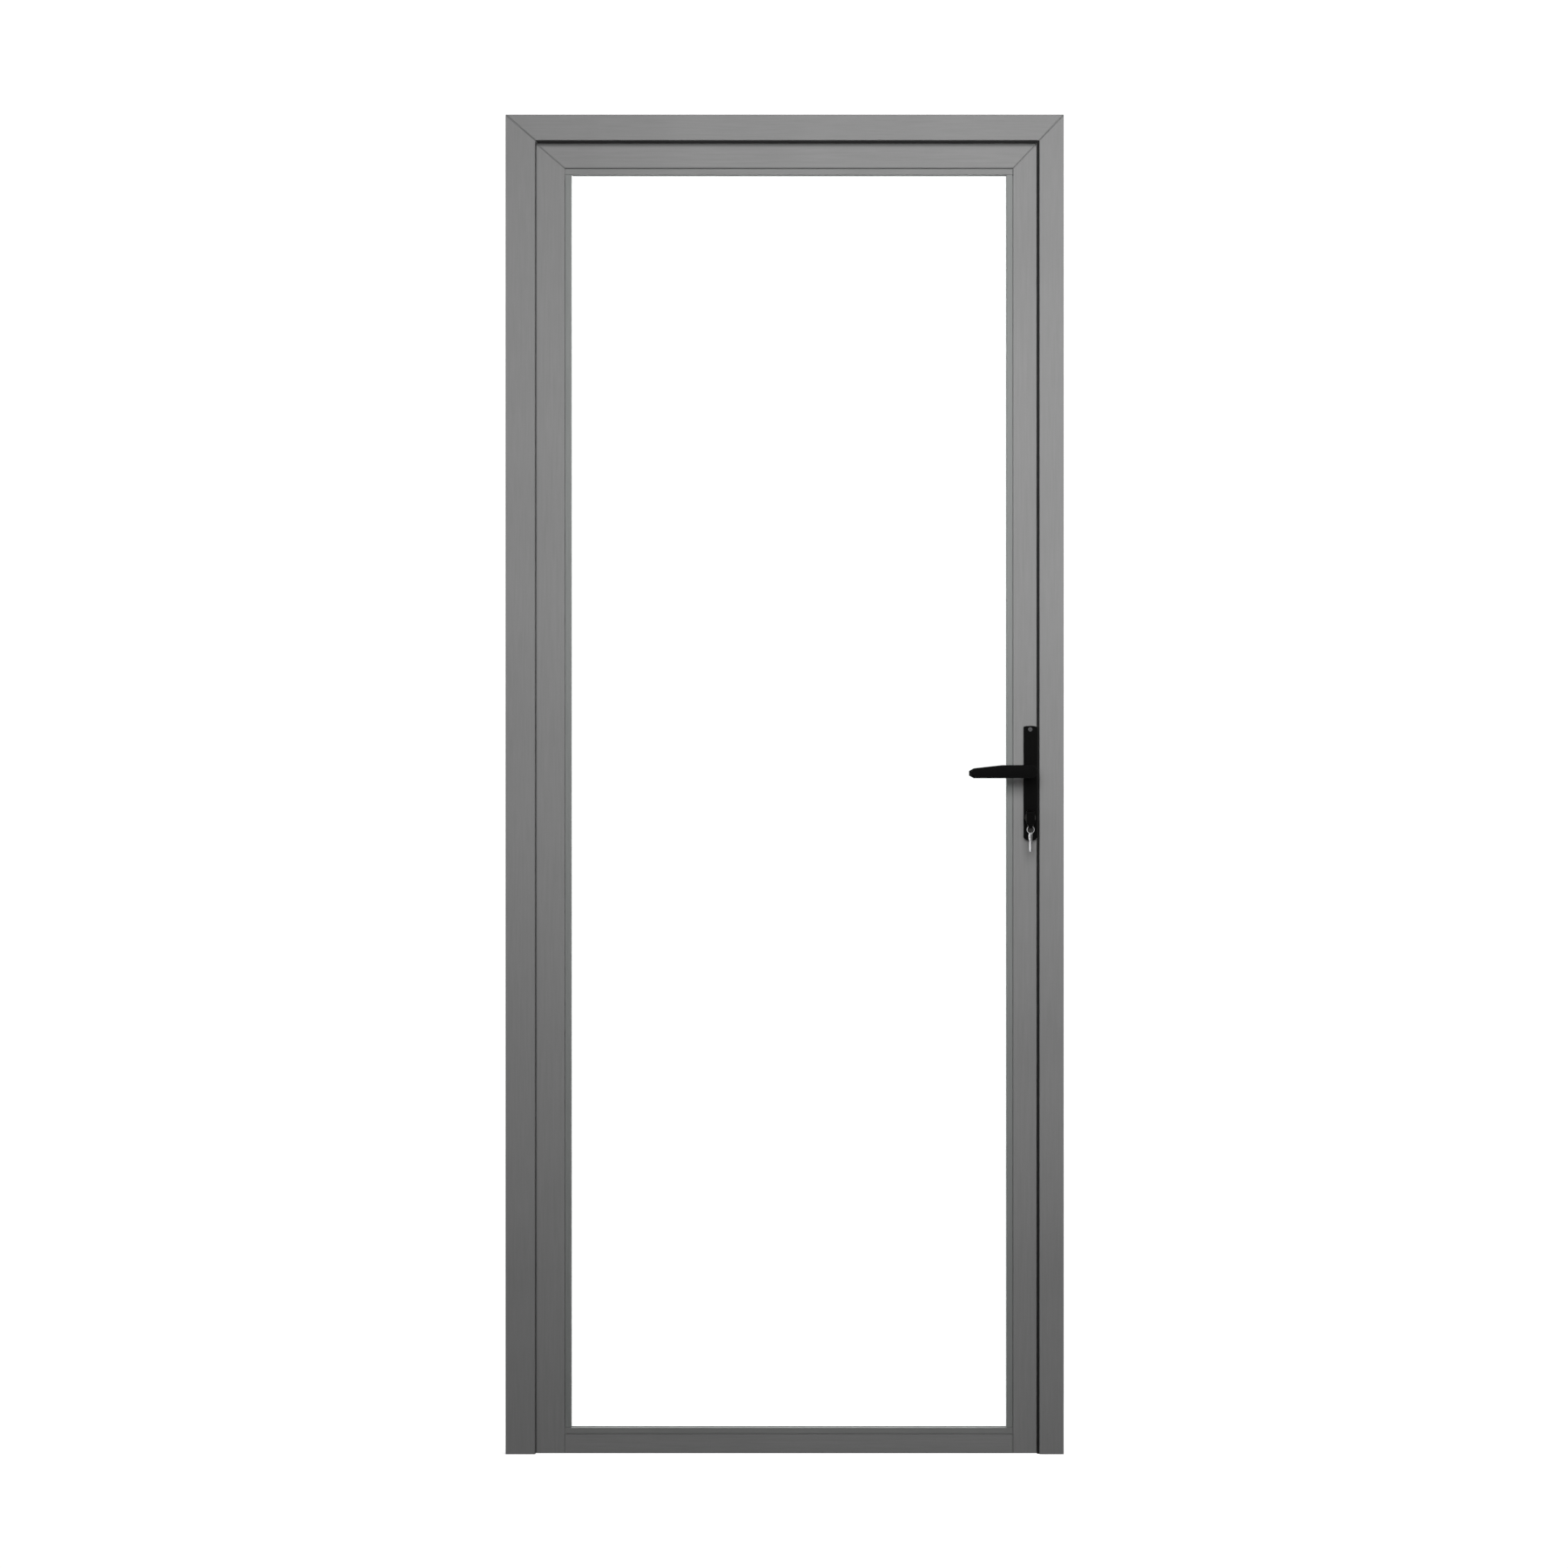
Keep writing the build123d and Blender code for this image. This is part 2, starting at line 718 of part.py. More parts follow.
plate_screw_heights = (plate_bottom + plate_screw_inset_bottom, plate_top - plate_screw_inset_top)
faceplate_screw_heights = (
    faceplate_bottom + faceplate_screw_inset,
    faceplate_top - faceplate_screw_inset,
)
cylinder_screw_z = cylinder_z + cylinder_radius - cylinder_tall + cylinder_stem_width / 2
cylinder_cut = cylinder_outline(cylinder_fit)
with BuildPart() as lock_stile:
    with BuildSketch(Plane(origin=(leaf_right, 0, leaf_top), x_dir=(-1, 0, 0), z_dir=(0, 0, -1))):
        add(lock_stile_profile)
    extrude(amount=leaf_height)
    split(bisect_by=leaf_right_mitre.offset(-mitre_gap / 2), keep=Keep.BOTTOM)
    with BuildSketch(Plane.YZ.offset(leaf_right)):
        with Locations((0, (case_bottom + case_top) / 2)):
            Rectangle(case_thickness + 2 * case_fit, case_top - case_bottom + 2 * case_fit)
        with Locations(*[(0, z) for z in faceplate_screw_heights]):
            Circle(lock_screw_radius + screw_fit)
        with Locations(*rail_screw_places):
            Circle(rail_screw_head_radius + cleat_fit)
    extrude(amount=-leaf_wall, mode=Mode.SUBTRACT)
    with BuildSketch(Plane.YZ.offset(rebate_right)):
        with Locations(*rail_screw_places):
            Circle(rail_screw_radius + screw_fit)
    extrude(amount=rebate_floor_wall, mode=Mode.SUBTRACT)
    with BuildSketch(Plane.XZ):
        with Locations((lever_x, lever_height)):
            Circle(spindle_hole_radius)
        with Locations((lever_x, cylinder_z)):
            add(cylinder_cut)
        with Locations(*[(lever_x, z) for z in plate_screw_heights]):
            Circle(plate_screw_radius + screw_fit)
    extrude(amount=leaf_depth / 2, both=True, mode=Mode.SUBTRACT)
save(lock_stile.part, "lock_stile")

with BuildPart() as top_rail:
    with BuildSketch(Plane(origin=(leaf_left, 0, leaf_top), x_dir=(0, 0, -1), z_dir=(1, 0, 0))):
        add(top_rail_profile)
    extrude(amount=leaf_right - leaf_left)
    split(bisect_by=leaf_left_mitre.offset(mitre_gap / 2), keep=Keep.TOP)
    split(bisect_by=leaf_right_mitre.offset(mitre_gap / 2), keep=Keep.TOP)
save(top_rail.part, "top_rail")

rail_left = rebate_left + mitre_gap / 2
rail_right = rebate_right - mitre_gap / 2
with BuildPart() as bottom_rail:
    with BuildSketch(Plane(origin=(rail_right, 0, leaf_bottom), x_dir=(0, 0, 1), z_dir=(-1, 0, 0))):
        add(bottom_rail_profile)
    extrude(amount=rail_right - rail_left)
    with BuildSketch(Plane.XY.offset(leaf_bottom)):
        for end_x in (rail_left, rail_right):
            with Locations((end_x, (flange_front + leaf_back) / 2 - mitre_gap / 2)):
                Rectangle(2 * bead_height, flange_depth + mitre_gap)
    extrude(amount=bottom_rail_face + bead_height, mode=Mode.SUBTRACT)
save(bottom_rail.part, "bottom_rail")

leaf_inset = leaf_wall + cleat_fit
floor_inset = rebate_floor_wall + cleat_fit
left_leaf_cleat = corner_cleat(
    leaf_left + leaf_inset,
    rebate_left - floor_inset - cleat_corner_clearance,
    leaf_top - leaf_inset,
    rebate_top + floor_inset + cleat_corner_clearance,
    step_back + leaf_inset,
    leaf_back - leaf_inset,
)
right_leaf_cleat = corner_cleat(
    leaf_right - leaf_inset,
    rebate_right + floor_inset + cleat_corner_clearance,
    leaf_top - leaf_inset,
    rebate_top + floor_inset + cleat_corner_clearance,
    step_back + leaf_inset,
    leaf_back - leaf_inset,
)
with BuildPart() as leaf_cleats:
    add(left_leaf_cleat)
    add(right_leaf_cleat)
save(leaf_cleats.part, "leaf_corner_cleats")

with BuildPart() as rail_screw:
    Cylinder(rail_screw_radius, rail_screw_length, align=(Align.CENTER, Align.CENTER, Align.MAX))
    Cylinder(rail_screw_head_radius, rail_screw_head, align=(Align.CENTER, Align.CENTER, Align.MIN))
rail_head_left = rebate_left - rebate_floor_wall
rail_head_right = rebate_right + rebate_floor_wall
rail_places = [Location((rail_head_left, y, z), facing_left) for y, z in rail_screw_places]
rail_places += [Location((rail_head_right, y, z), facing_right) for y, z in rail_screw_places]
save(copies(rail_screw.part, rail_places), "bottom_rail_screws")


# Glass pane: one sheet of toughened glass with ground edges, standing on setting blocks

glass_left = rebate_left + glazing_clearance
glass_right = rebate_right - glazing_clearance
glass_bottom = rebate_bottom + glazing_clearance
glass_top = rebate_top - glazing_clearance
glass_middle_x = (glass_left + glass_right) / 2
glass_middle_z = (glass_bottom + glass_top) / 2
with BuildPart() as glass:
    with BuildSketch(Plane.XZ.offset(-glass_back)):
        with Locations((glass_middle_x, glass_middle_z)):
            Rectangle(glass_right - glass_left, glass_top - glass_bottom)
    extrude(amount=glass_thickness)
    chamfer(glass.faces().group_by(Axis.Y)[0].edges(), length=glass_arris)
    chamfer(glass.faces().group_by(Axis.Y)[-1].edges(), length=glass_arris)
save(glass.part, "glass_pane")

block_y = (glass_front + glass_back) / 2
half_clearance = glazing_clearance / 2
quarter_x = (glass_right - glass_left) / 4
quarter_z = (glass_top - glass_bottom) / 4
block_xs = (glass_middle_x - quarter_x, glass_middle_x + quarter_x)
block_zs = (glass_middle_z - quarter_z, glass_middle_z + quarter_z)
with BuildPart() as setting_blocks:
    for block_z in (rebate_bottom + half_clearance, rebate_top - half_clearance):
        with Locations(*[(x, block_y, block_z) for x in block_xs]):
            Box(block_length, block_width, glazing_clearance)
    for block_x in (rebate_left + half_clearance, rebate_right - half_clearance):
        with Locations(*[(block_x, block_y, z) for z in block_zs]):
            Box(glazing_clearance, block_width, block_length)
save(setting_blocks.part, "setting_blocks")


# Glazing gaskets: a rubber loop in front of the glass and one behind it


def glazing_gasket_loop(front, back):
    """A rubber loop a little lower than the beads, between two depths."""
    inner = bead_height - glazing_gasket_recess
    outer = inner - glazing_gasket_height
    middle = ((rebate_left + rebate_right) / 2, (rebate_bottom + rebate_top) / 2)
    with BuildPart() as loop:
        with BuildSketch(Plane.XZ.offset(-front)):
            with Locations(middle):
                Rectangle(rebate_right - rebate_left - 2 * outer, rebate_top - rebate_bottom - 2 * outer)
                Rectangle(
                    rebate_right - rebate_left - 2 * inner,
                    rebate_top - rebate_bottom - 2 * inner,
                    mode=Mode.SUBTRACT,
                )
        extrude(amount=-(back - front))
    return loop.part


save(glazing_gasket_loop(bead_back, glass_front), "glazing_gasket_front")
save(glazing_gasket_loop(glass_back, flange_front), "glazing_gasket_back")


# Glazing beads: hollow extrusions that snap into the rebate; the side beads stand between the others

with BuildSketch() as bead_profile:
    with BuildLine():
        Polyline(
            (0, leaf_front + bead_reveal_depth),
            (bead_reveal, leaf_front + bead_reveal_depth),
            (bead_reveal, leaf_front),
            (bead_height, leaf_front),
            (bead_height, bead_back),
            (0, bead_back),
            close=True,
        )
    make_face()
    offset(amount=-bead_wall, kind=Kind.INTERSECTION, mode=Mode.SUBTRACT)
    with Locations((-bead_foot_depth / 2, bead_foot_y)):
        Rectangle(bead_foot_depth, bead_foot_width)
    sight_corner = bead_profile.vertices().group_by(Axis.Y)[0].sort_by(Axis.X)[-1]
    fillet(sight_corner, radius=bead_sight_radius)
bead_section = bead_profile.sketch

side_bead_bottom = rebate_bottom + bead_height + bead_fit
side_bead_top = rebate_top - bead_height - bead_fit
bead_left = rebate_left + bead_fit
bead_right = rebate_right - bead_fit
bead_planes = {
    "hinge_side": Plane(origin=(rebate_left, 0, side_bead_bottom), x_dir=(1, 0, 0), z_dir=(0, 0, 1)),
    "lock_side": Plane(origin=(rebate_right, 0, side_bead_top), x_dir=(-1, 0, 0), z_dir=(0, 0, -1)),
    "top": Plane(origin=(bead_left, 0, rebate_top), x_dir=(0, 0, -1), z_dir=(1, 0, 0)),
    "bottom": Plane(origin=(bead_right, 0, rebate_bottom), x_dir=(0, 0, 1), z_dir=(-1, 0, 0)),
}
bead_lengths = {
    "hinge_side": side_bead_top - side_bead_bottom,
    "lock_side": side_bead_top - side_bead_bottom,
    "top": bead_right - bead_left,
    "bottom": bead_right - bead_left,
}
for place, plane in bead_planes.items():
    with BuildPart() as bead:
        with BuildSketch(plane):
            add(bead_section)
        extrude(amount=bead_lengths[place])
    save(bead.part, f"glazing_bead_{place}")


# Bottom seal: a rubber strip with a lip that wipes the floor

with BuildPart() as bottom_seal:
    with BuildSketch(Plane.YZ.offset(leaf_left)):
        with Locations((0, leaf_bottom - seal_base_height / 2)):
            Rectangle(seal_base_width, seal_base_height)
        with Locations((0, (leaf_bottom + seal_floor_clearance) / 2)):
            Rectangle(seal_lip_width, leaf_bottom - seal_floor_clearance)
    extrude(amount=leaf_right - leaf_left)
save(bottom_seal.part, "bottom_seal")


# Butt hinges: two halves cut from extrusion and drilled, a steel pin, and a plastic bush round it


def hinge_half(height, side, segments, bore):
    """One half of a hinge: a plate with screw holes, and necks that carry its knuckles."""
    plate_near = hinge_x + side * hinge_plate_offset
    neck_x = hinge_x + side * 2 * hinge_plate_offset
    plate_back = leaf_back + hinge_plate_thickness
    with BuildPart() as half:
        with BuildSketch(Plane.XY.offset(height)):
            with Locations((hinge_x + side * hinge_plate_middle, (leaf_back + plate_back) / 2)):
                Rectangle(hinge_plate_width, hinge_plate_thickness)
        extrude(amount=hinge_tall)
        for bottom, top in segments:
            with BuildSketch(Plane.XY.offset(height + bottom)):
                with BuildLine():
                    Polyline(
                        (neck_x, plate_back),
                        (neck_x, leaf_back),
                        (plate_near, leaf_back),
                        (hinge_x, hinge_y - knuckle_radius),
                        (hinge_x, hinge_y),
                        (hinge_x + side * knuckle_radius, hinge_y),
                        close=True,
                    )
                make_face()
                with Locations((hinge_x, hinge_y)):
                    Circle(knuckle_radius)
                    Circle(bore, mode=Mode.SUBTRACT)
            extrude(amount=top - bottom)
        with Locations(
            *[
                Location((hinge_x + side * hinge_plate_middle, plate_back, height + offset), facing_back)
                for offset in hinge_screw_offsets
            ]
        ):
            CounterSinkHole(
                hinge_screw_radius + screw_fit,
                hinge_screw_head_radius + screw_fit,
                hinge_plate_thickness,
            )
    return half.part


lower_knuckle = (0, knuckle_length)
middle_knuckle = (knuckle_length + knuckle_gap, 2 * knuckle_length + knuckle_gap)
upper_knuckle = (2 * knuckle_length + 2 * knuckle_gap, hinge_tall)
for height, place in zip(hinge_heights, ("lower", "middle", "upper")):
    frame_half = hinge_half(height, -1, [lower_knuckle, upper_knuckle], pin_radius + pin_fit)
    save(frame_half, f"hinge_frame_half_{place}")
    leaf_half = hinge_half(height, 1, [middle_knuckle], bush_radius + pin_fit)
    save(leaf_half, f"hinge_leaf_half_{place}")

with BuildPart() as hinge_pin:
    with Locations((hinge_x, hinge_y, -pin_head)):
        Cylinder(pin_head_radius, pin_head, align=(Align.CENTER, Align.CENTER, Align.MIN))
    with Locations((hinge_x, hinge_y, 0)):
        Cylinder(pin_radius, hinge_tall, align=(Align.CENTER, Align.CENTER, Align.MIN))
    with Locations((hinge_x, hinge_y, hinge_tall)):
        Cylinder(pin_head_radius, pin_head, align=(Align.CENTER, Align.CENTER, Align.MIN))
    chamfer(hinge_pin.faces().sort_by(Axis.Z)[-1].edges(), length=edge_radius)
    chamfer(hinge_pin.faces().sort_by(Axis.Z)[0].edges(), length=edge_radius)
save(copies(hinge_pin.part, [(0, 0, z) for z in hinge_heights]), "hinge_pins")

bush_bottom = middle_knuckle[0] - knuckle_gap + bush_flange_clearance
bush_top = middle_knuckle[1] + knuckle_gap - bush_flange_clearance
with BuildPart() as bush:
    with BuildSketch(Plane.XY.offset(bush_bottom)):
        with Locations((hinge_x, hinge_y)):
            Circle(bush_radius)
            Circle(pin_radius + bush_running_fit, mode=Mode.SUBTRACT)
    extrude(amount=bush_top - bush_bottom)
    for flange_bottom in (bush_bottom, middle_knuckle[1]):
        with BuildSketch(Plane.XY.offset(flange_bottom)):
            with Locations((hinge_x, hinge_y)):
                Circle(bush_flange_radius)
                Circle(pin_radius + bush_running_fit, mode=Mode.SUBTRACT)
        extrude(amount=knuckle_gap - bush_flange_clearance)
save(copies(bush.part, [(0, 0, z) for z in hinge_heights]), "hinge_bushes")

hinge_plate_back = leaf_back + hinge_plate_thickness
for side, name in ((-1, "hinge_frame_screws"), (1, "hinge_leaf_screws")):
    screw_x = hinge_x + side * hinge_plate_middle
    places = [Location((screw_x, hinge_plate_back, z), facing_back) for z in hinge_screw_heights]
    save(copies(hinge_screw, places), name)


# Lock: a flat steel case in the lock stile, closed by a faceplate in the leaf's edge

case_back = leaf_right - case_depth
bolt_openings = [(latch_z, latch_tall), (deadbolt_z, deadbolt_tall)]
faceplate_screw_places = [Location((faceplate_front, 0, z), facing_right) for z in faceplate_screw_heights]
cylinder_screw_place = Location((faceplate_front, 0, cylinder_screw_z), facing_right)
with BuildPart() as lock_case:
    with Locations(((case_back + leaf_right) / 2, 0, (case_bottom + case_top) / 2)):
        Box(case_depth, case_thickness, case_top - case_bottom)
        Box(
            case_depth - 2 * case_wall,
            case_thickness - 2 * case_wall,
            case_top - case_bottom - 2 * case_wall,
            mode=Mode.SUBTRACT,
        )
    with BuildSketch(Plane.YZ.offset(leaf_right)):
        for middle, tall in bolt_openings:
            with Locations((0, middle)):
                Rectangle(bolt_thickness + 2 * bolt_fit, tall + 2 * bolt_fit)
        with Locations((0, cylinder_screw_z)):
            Circle(cylinder_screw_radius + case_fit)
    extrude(amount=-case_wall, mode=Mode.SUBTRACT)
    with BuildSketch(Plane.XZ):
        with Locations((lever_x, lever_height)):
            Circle(follower_boss_radius + follower_running_fit)
        with Locations((lever_x, cylinder_z)):
            add(cylinder_cut)
    extrude(amount=case_thickness / 2, both=True, mode=Mode.SUBTRACT)
save(lock_case.part, "lock_case")

with BuildPart() as faceplate:
    with BuildSketch(Plane.YZ.offset(leaf_right)):
        with Locations((0, (faceplate_bottom + faceplate_top) / 2)):
            RectangleRounded(faceplate_width, faceplate_top - faceplate_bottom, plate_wall)
        for middle, tall in bolt_openings:
            with Locations((0, middle)):
                Rectangle(bolt_thickness + 2 * bolt_fit, tall + 2 * bolt_fit, mode=Mode.SUBTRACT)
    extrude(amount=faceplate_thickness)
    with Locations(*faceplate_screw_places):
        CounterSinkHole(lock_screw_bore, lock_screw_seat, faceplate_thickness)
    with Locations(cylinder_screw_place):
        CounterSinkHole(cylinder_screw_radius + screw_fit, lock_screw_seat, faceplate_thickness)
save(faceplate.part, "lock_faceplate")
save(copies(lock_screw, faceplate_screw_places), "faceplate_screws")

latch_tip_x = faceplate_front + latch_throw
latch_shoulder_x = leaf_right - latch_body
latch_tail_x = latch_shoulder_x - latch_tail_length
with BuildPart() as latch:
    with BuildSketch(Plane.XY.offset(latch_z - latch_tall / 2)):
        with BuildLine():
            Polyline(
                (latch_shoulder_x, -bolt_thickness / 2),
                (faceplate_front, -bolt_thickness / 2),
                (latch_tip_x, bolt_thickness / 2 - latch_nose),
                (latch_tip_x, bolt_thickness / 2),
                (latch_shoulder_x, bolt_thickness / 2),
                close=True,
            )
        make_face()
    extrude(amount=latch_tall)
    with Locations((latch_tail_x + latch_tail_length / 2, 0, latch_z)):
        Box(latch_tail_length, latch_tail_thickness, latch_tail_tall)
    lug_bottom = lever_height + latch_lug_bottom
    with Locations((latch_tail_x + latch_lug_width / 2, 0, (lug_bottom + latch_z) / 2)):
        Box(latch_lug_width, latch_tail_thickness, latch_z - lug_bottom)
save(latch.part, "latch_bolt")

with BuildPart() as deadbolt:
    with Locations((faceplate_front - deadbolt_recess - deadbolt_length / 2, 0, deadbolt_z)):
        Box(deadbolt_length, bolt_thickness, deadbolt_tall)
    tip_edges = deadbolt.faces().sort_by(Axis.X)[-1].edges()
    chamfer(tip_edges, length=edge_radius)
save(deadbolt.part, "deadbolt")

follower_half = case_thickness / 2 - case_wall - follower_side_clearance
with BuildPart() as follower:
    with BuildSketch(Plane.XZ):
        with Locations((lever_x, lever_height)):
            Circle(follower_radius)
            with Locations(Location((0, 0, 0), (0, 0, -follower_arm_angle))):
                with Locations((0, follower_arm_reach / 2)):
                    Rectangle(follower_arm_width, follower_arm_reach)
                with Locations((0, follower_arm_reach)):
                    Circle(follower_arm_width / 2)
    extrude(amount=follower_half, both=True)
    with BuildSketch(Plane.XZ):
        with Locations((lever_x, lever_height)):
            Circle(follower_boss_radius)
    extrude(amount=case_thickness / 2, both=True)
    with BuildSketch(Plane.XZ):
        with Locations((lever_x, lever_height)):
            Rectangle(spindle_size + 2 * spindle_fit, spindle_size + 2 * spindle_fit)
    extrude(amount=case_thickness, both=True, mode=Mode.SUBTRACT)
save(follower.part, "follower")

with BuildPart() as spindle:
    with Locations((lever_x, 0, lever_height)):
        Box(spindle_size, 2 * spindle_half_length, spindle_size)
    chamfer(spindle.edges().group_by(Axis.Y)[0], length=edge_radius)
    chamfer(spindle.edges().group_by(Axis.Y)[-1], length=edge_radius)
save(spindle.part, "spindle")


# Cylinder: a brass body with a plug that turns in each half, and a cam between them

plug_front = -cylinder_half_length
plug_inner = cam_half_width + cam_clearance
cylinder_body_outline = cylinder_outline(0)
with BuildPart() as cylinder_body:
    with BuildSketch(Plane.XZ):
        with Locations((lever_x, cylinder_z)):
            add(cylinder_body_outline)
    extrude(amount=cylinder_half_length, both=True)
    with BuildSketch(Plane.XZ):
        with Locations((lever_x, cylinder_z)):
            Circle(plug_radius + plug_running_fit)
    extrude(amount=cylinder_half_length, both=True, mode=Mode.SUBTRACT)
    with BuildSketch(Plane.XZ):
        with Locations((lever_x, cylinder_z)):
            Circle(cam_reach + cam_clearance)
    extrude(amount=plug_inner, both=True, mode=Mode.SUBTRACT)
    with BuildSketch(Plane.YZ.offset(faceplate_front)):
        with Locations((0, cylinder_screw_z)):
            Circle(cylinder_screw_radius + screw_fit)
    extrude(amount=-2 * backset, mode=Mode.SUBTRACT)
save(cylinder_body.part, "cylinder_body")

cylinder_screw = countersunk_screw(cylinder_screw_radius, lock_screw_head_radius, cylinder_screw_length)
save(copies(cylinder_screw, [cylinder_screw_place]), "cylinder_screw")

keyway_depth = key_blade_length + 2 * key_fit
with BuildPart() as plug:
    for plug_start in (-cylinder_half_length, plug_inner):
        with BuildSketch(Plane.XZ.offset(-plug_start)):
            with Locations((lever_x, cylinder_z)):
                Circle(plug_radius)
        extrude(amount=-(cylinder_half_length - plug_inner))
    with BuildSketch(Plane.XZ.offset(cylinder_half_length)):
        with Locations((lever_x, cylinder_z)):
            Rectangle(key_thickness + 2 * key_fit, key_blade_height + 2 * key_fit)
    extrude(amount=-keyway_depth, mode=Mode.SUBTRACT)
    with BuildSketch(Plane.XZ.offset(-cylinder_half_length)):
        with Locations((lever_x, cylinder_z)):
            Rectangle(key_thickness + 2 * key_fit, key_blade_height + 2 * key_fit)
    extrude(amount=keyway_depth, mode=Mode.SUBTRACT)
save(plug.part, "cylinder_plug")

with BuildPart() as cam:
    with BuildSketch(Plane.XZ):
        with Locations((lever_x, cylinder_z)):
            Circle(cam_ring_radius)
            with Locations((0, -cam_reach / 2)):
                Rectangle(cam_width, cam_reach)
            Circle(cam_reach, mode=Mode.INTERSECT)
    extrude(amount=cam_half_width, both=True)
save(cam.part, "cylinder_cam")


# Key: a flat nickel-silver blade with cuts along its edge, in a head moulded round its tang

with BuildPart() as key_blade:
    with BuildSketch(Plane.YZ.offset(lever_x - key_thickness / 2)):
        with Locations((plug_front + (key_blade_length - key_shank) / 2, cylinder_z)):
            Rectangle(key_blade_length + key_shank, key_blade_height)
        for number in range(key_cut_count):
            cut_y = plug_front + key_first_cut + number * key_cut_spacing
            with Locations((cut_y, cylinder_z + key_blade_height / 2)):
                Rectangle(key_cut_depth, 2 * key_cut_depth, rotation=45, mode=Mode.SUBTRACT)
    extrude(amount=key_thickness)
save(key_blade.part, "key_blade")

head_half = key_head_thickness / 2
eye_half = key_eye_thickness / 2
eye_bottom = -key_eye_drop - 2 * key_eye_radius
head_middle_z = cylinder_z + (key_head_top - key_head_bottom) / 2
with BuildSketch() as key_front_view:
    with BuildLine():
        Polyline(
            (0, key_head_top),
            (head_half - key_head_bevel, key_head_top),
            (head_half, key_head_top - key_head_bevel),
            (head_half, -key_head_taper_start),
            (eye_half, -key_head_taper_start - head_half + eye_half),
            (eye_half, eye_bottom),
            (0, eye_bottom),
        )
        mirror(about=Plane.YZ)
    make_face()
key_front_outline = key_front_view.sketch

with BuildPart() as key_head:
    with BuildSketch(Plane.YZ.offset(lever_x - head_half)):
        with Locations((key_head_front - key_head_length / 2, head_middle_z)):
            RectangleRounded(key_head_length, key_head_top + key_head_bottom, key_head_round)
        with Locations((key_hole_y, cylinder_z - key_eye_drop)):
            Circle(key_eye_radius)
            Circle(key_hole_radius, mode=Mode.SUBTRACT)
    extrude(amount=key_head_thickness)
    with BuildSketch(Plane.XZ.offset(-key_head_front)):
        with Locations((lever_x, cylinder_z)):
            add(key_front_outline)
    extrude(amount=key_head_length, mode=Mode.INTERSECT)
save(key_head.part, "key_head")


# Ring and spare key: the ring hangs in the eye of the key's head, and the spare key hangs in the ring

with BuildPart() as key_ring:
    with BuildSketch(Plane.XY.offset(ring_centre_z)):
        with Locations((lever_x + ring_radius, key_hole_y)):
            Circle(ring_wire)
    revolve(axis=Axis((lever_x, key_hole_y, ring_centre_z), (0, 1, 0)))
save(key_ring.part, "key_ring")

spare_hole_z = ring_centre_z - ring_radius + ring_wire + spare_seat_clearance - spare_hole_radius
spare_top_z = spare_hole_z + spare_hole_inset
spare_bow_z = spare_top_z - spare_bow_radius
spare_sine = math.sin(math.radians(spare_turn))
spare_cosine = math.cos(math.radians(spare_turn))
spare_plane = Plane(
    origin=(lever_x, key_hole_y, 0),
    x_dir=(spare_sine, spare_cosine, 0),
    z_dir=(spare_cosine, -spare_sine, 0),
)
with BuildPart() as spare_key:
    with BuildSketch(spare_plane):
        with Locations((0, spare_bow_z)):
            Circle(spare_bow_radius)
        with Locations((0, spare_top_z - spare_length / 2)):
            Rectangle(spare_blade_height, spare_length)
        with Locations((0, spare_hole_z)):
            Circle(spare_hole_radius, mode=Mode.SUBTRACT)
    extrude(amount=spare_thickness / 2, both=True)
save(spare_key.part, "spare_key")


# Backplates: die-cast covers over the lock, hollow behind, screwed to both faces of the stile


def backplate_outline(inset):
    """A narrow plate with a shallow arch at the top and rounded lower corners."""
    half = plate_width / 2 - inset
    bottom = plate_bottom + inset
    shoulder = plate_top - plate_arch - inset
    with BuildSketch() as outline:
        with BuildLine():
            Polyline((-half, shoulder), (-half, bottom), (half, bottom), (half, shoulder))
            ThreePointArc((half, shoulder), (0, plate_top - inset), (-half, shoulder))
        make_face()
        fillet(outline.vertices().group_by(Axis.Y)[0], radius=plate_corner - inset)
    return outline.sketch


plate_outline = backplate_outline(0)
plate_cavity = backplate_outline(plate_wall)
plate_plane = Plane(origin=(lever_x, leaf_front, 0), x_dir=(1, 0, 0), z_dir=(0, -1, 0))
with BuildPart() as outer_plate:
    with BuildSketch(plate_plane):
        add(plate_outline)
    extrude(amount=plate_thickness)
    fillet(outer_plate.faces().sort_by(Axis.Y)[0].outer_wire().edges(), radius=plate_edge)
    with BuildSketch(plate_plane):
        add(plate_cavity)
    extrude(amount=plate_thickness - plate_wall, mode=Mode.SUBTRACT)
    with BuildSketch(plate_plane):
        with Locations(*[(0, z) for z in plate_screw_heights]):
            Circle(plate_boss_radius)
        with Locations((0, lever_height)):
            Circle(plate_width / 2 - plate_wall / 2)
    extrude(amount=plate_thickness - plate_wall)
    with BuildSketch(plate_plane):
        with Locations((0, lever_height)):
            Circle(journal_radius + journal_running_fit)
        with Locations((0, cylinder_z)):
            add(cylinder_cut)
    extrude(amount=plate_thickness, mode=Mode.SUBTRACT)
    with Locations(*[Location((lever_x, plate_front, z), facing_front) for z in plate_screw_heights]):
        CounterSinkHole(plate_screw_radius + screw_fit, plate_screw_head_radius + screw_fit, plate_thickness)
save(outer_plate.part, "outer_backplate")

with BuildPart() as inner_plate:
    add(outer_plate.part)
    mirror(about=Plane.XZ, mode=Mode.REPLACE)
save(inner_plate.part, "inner_backplate")

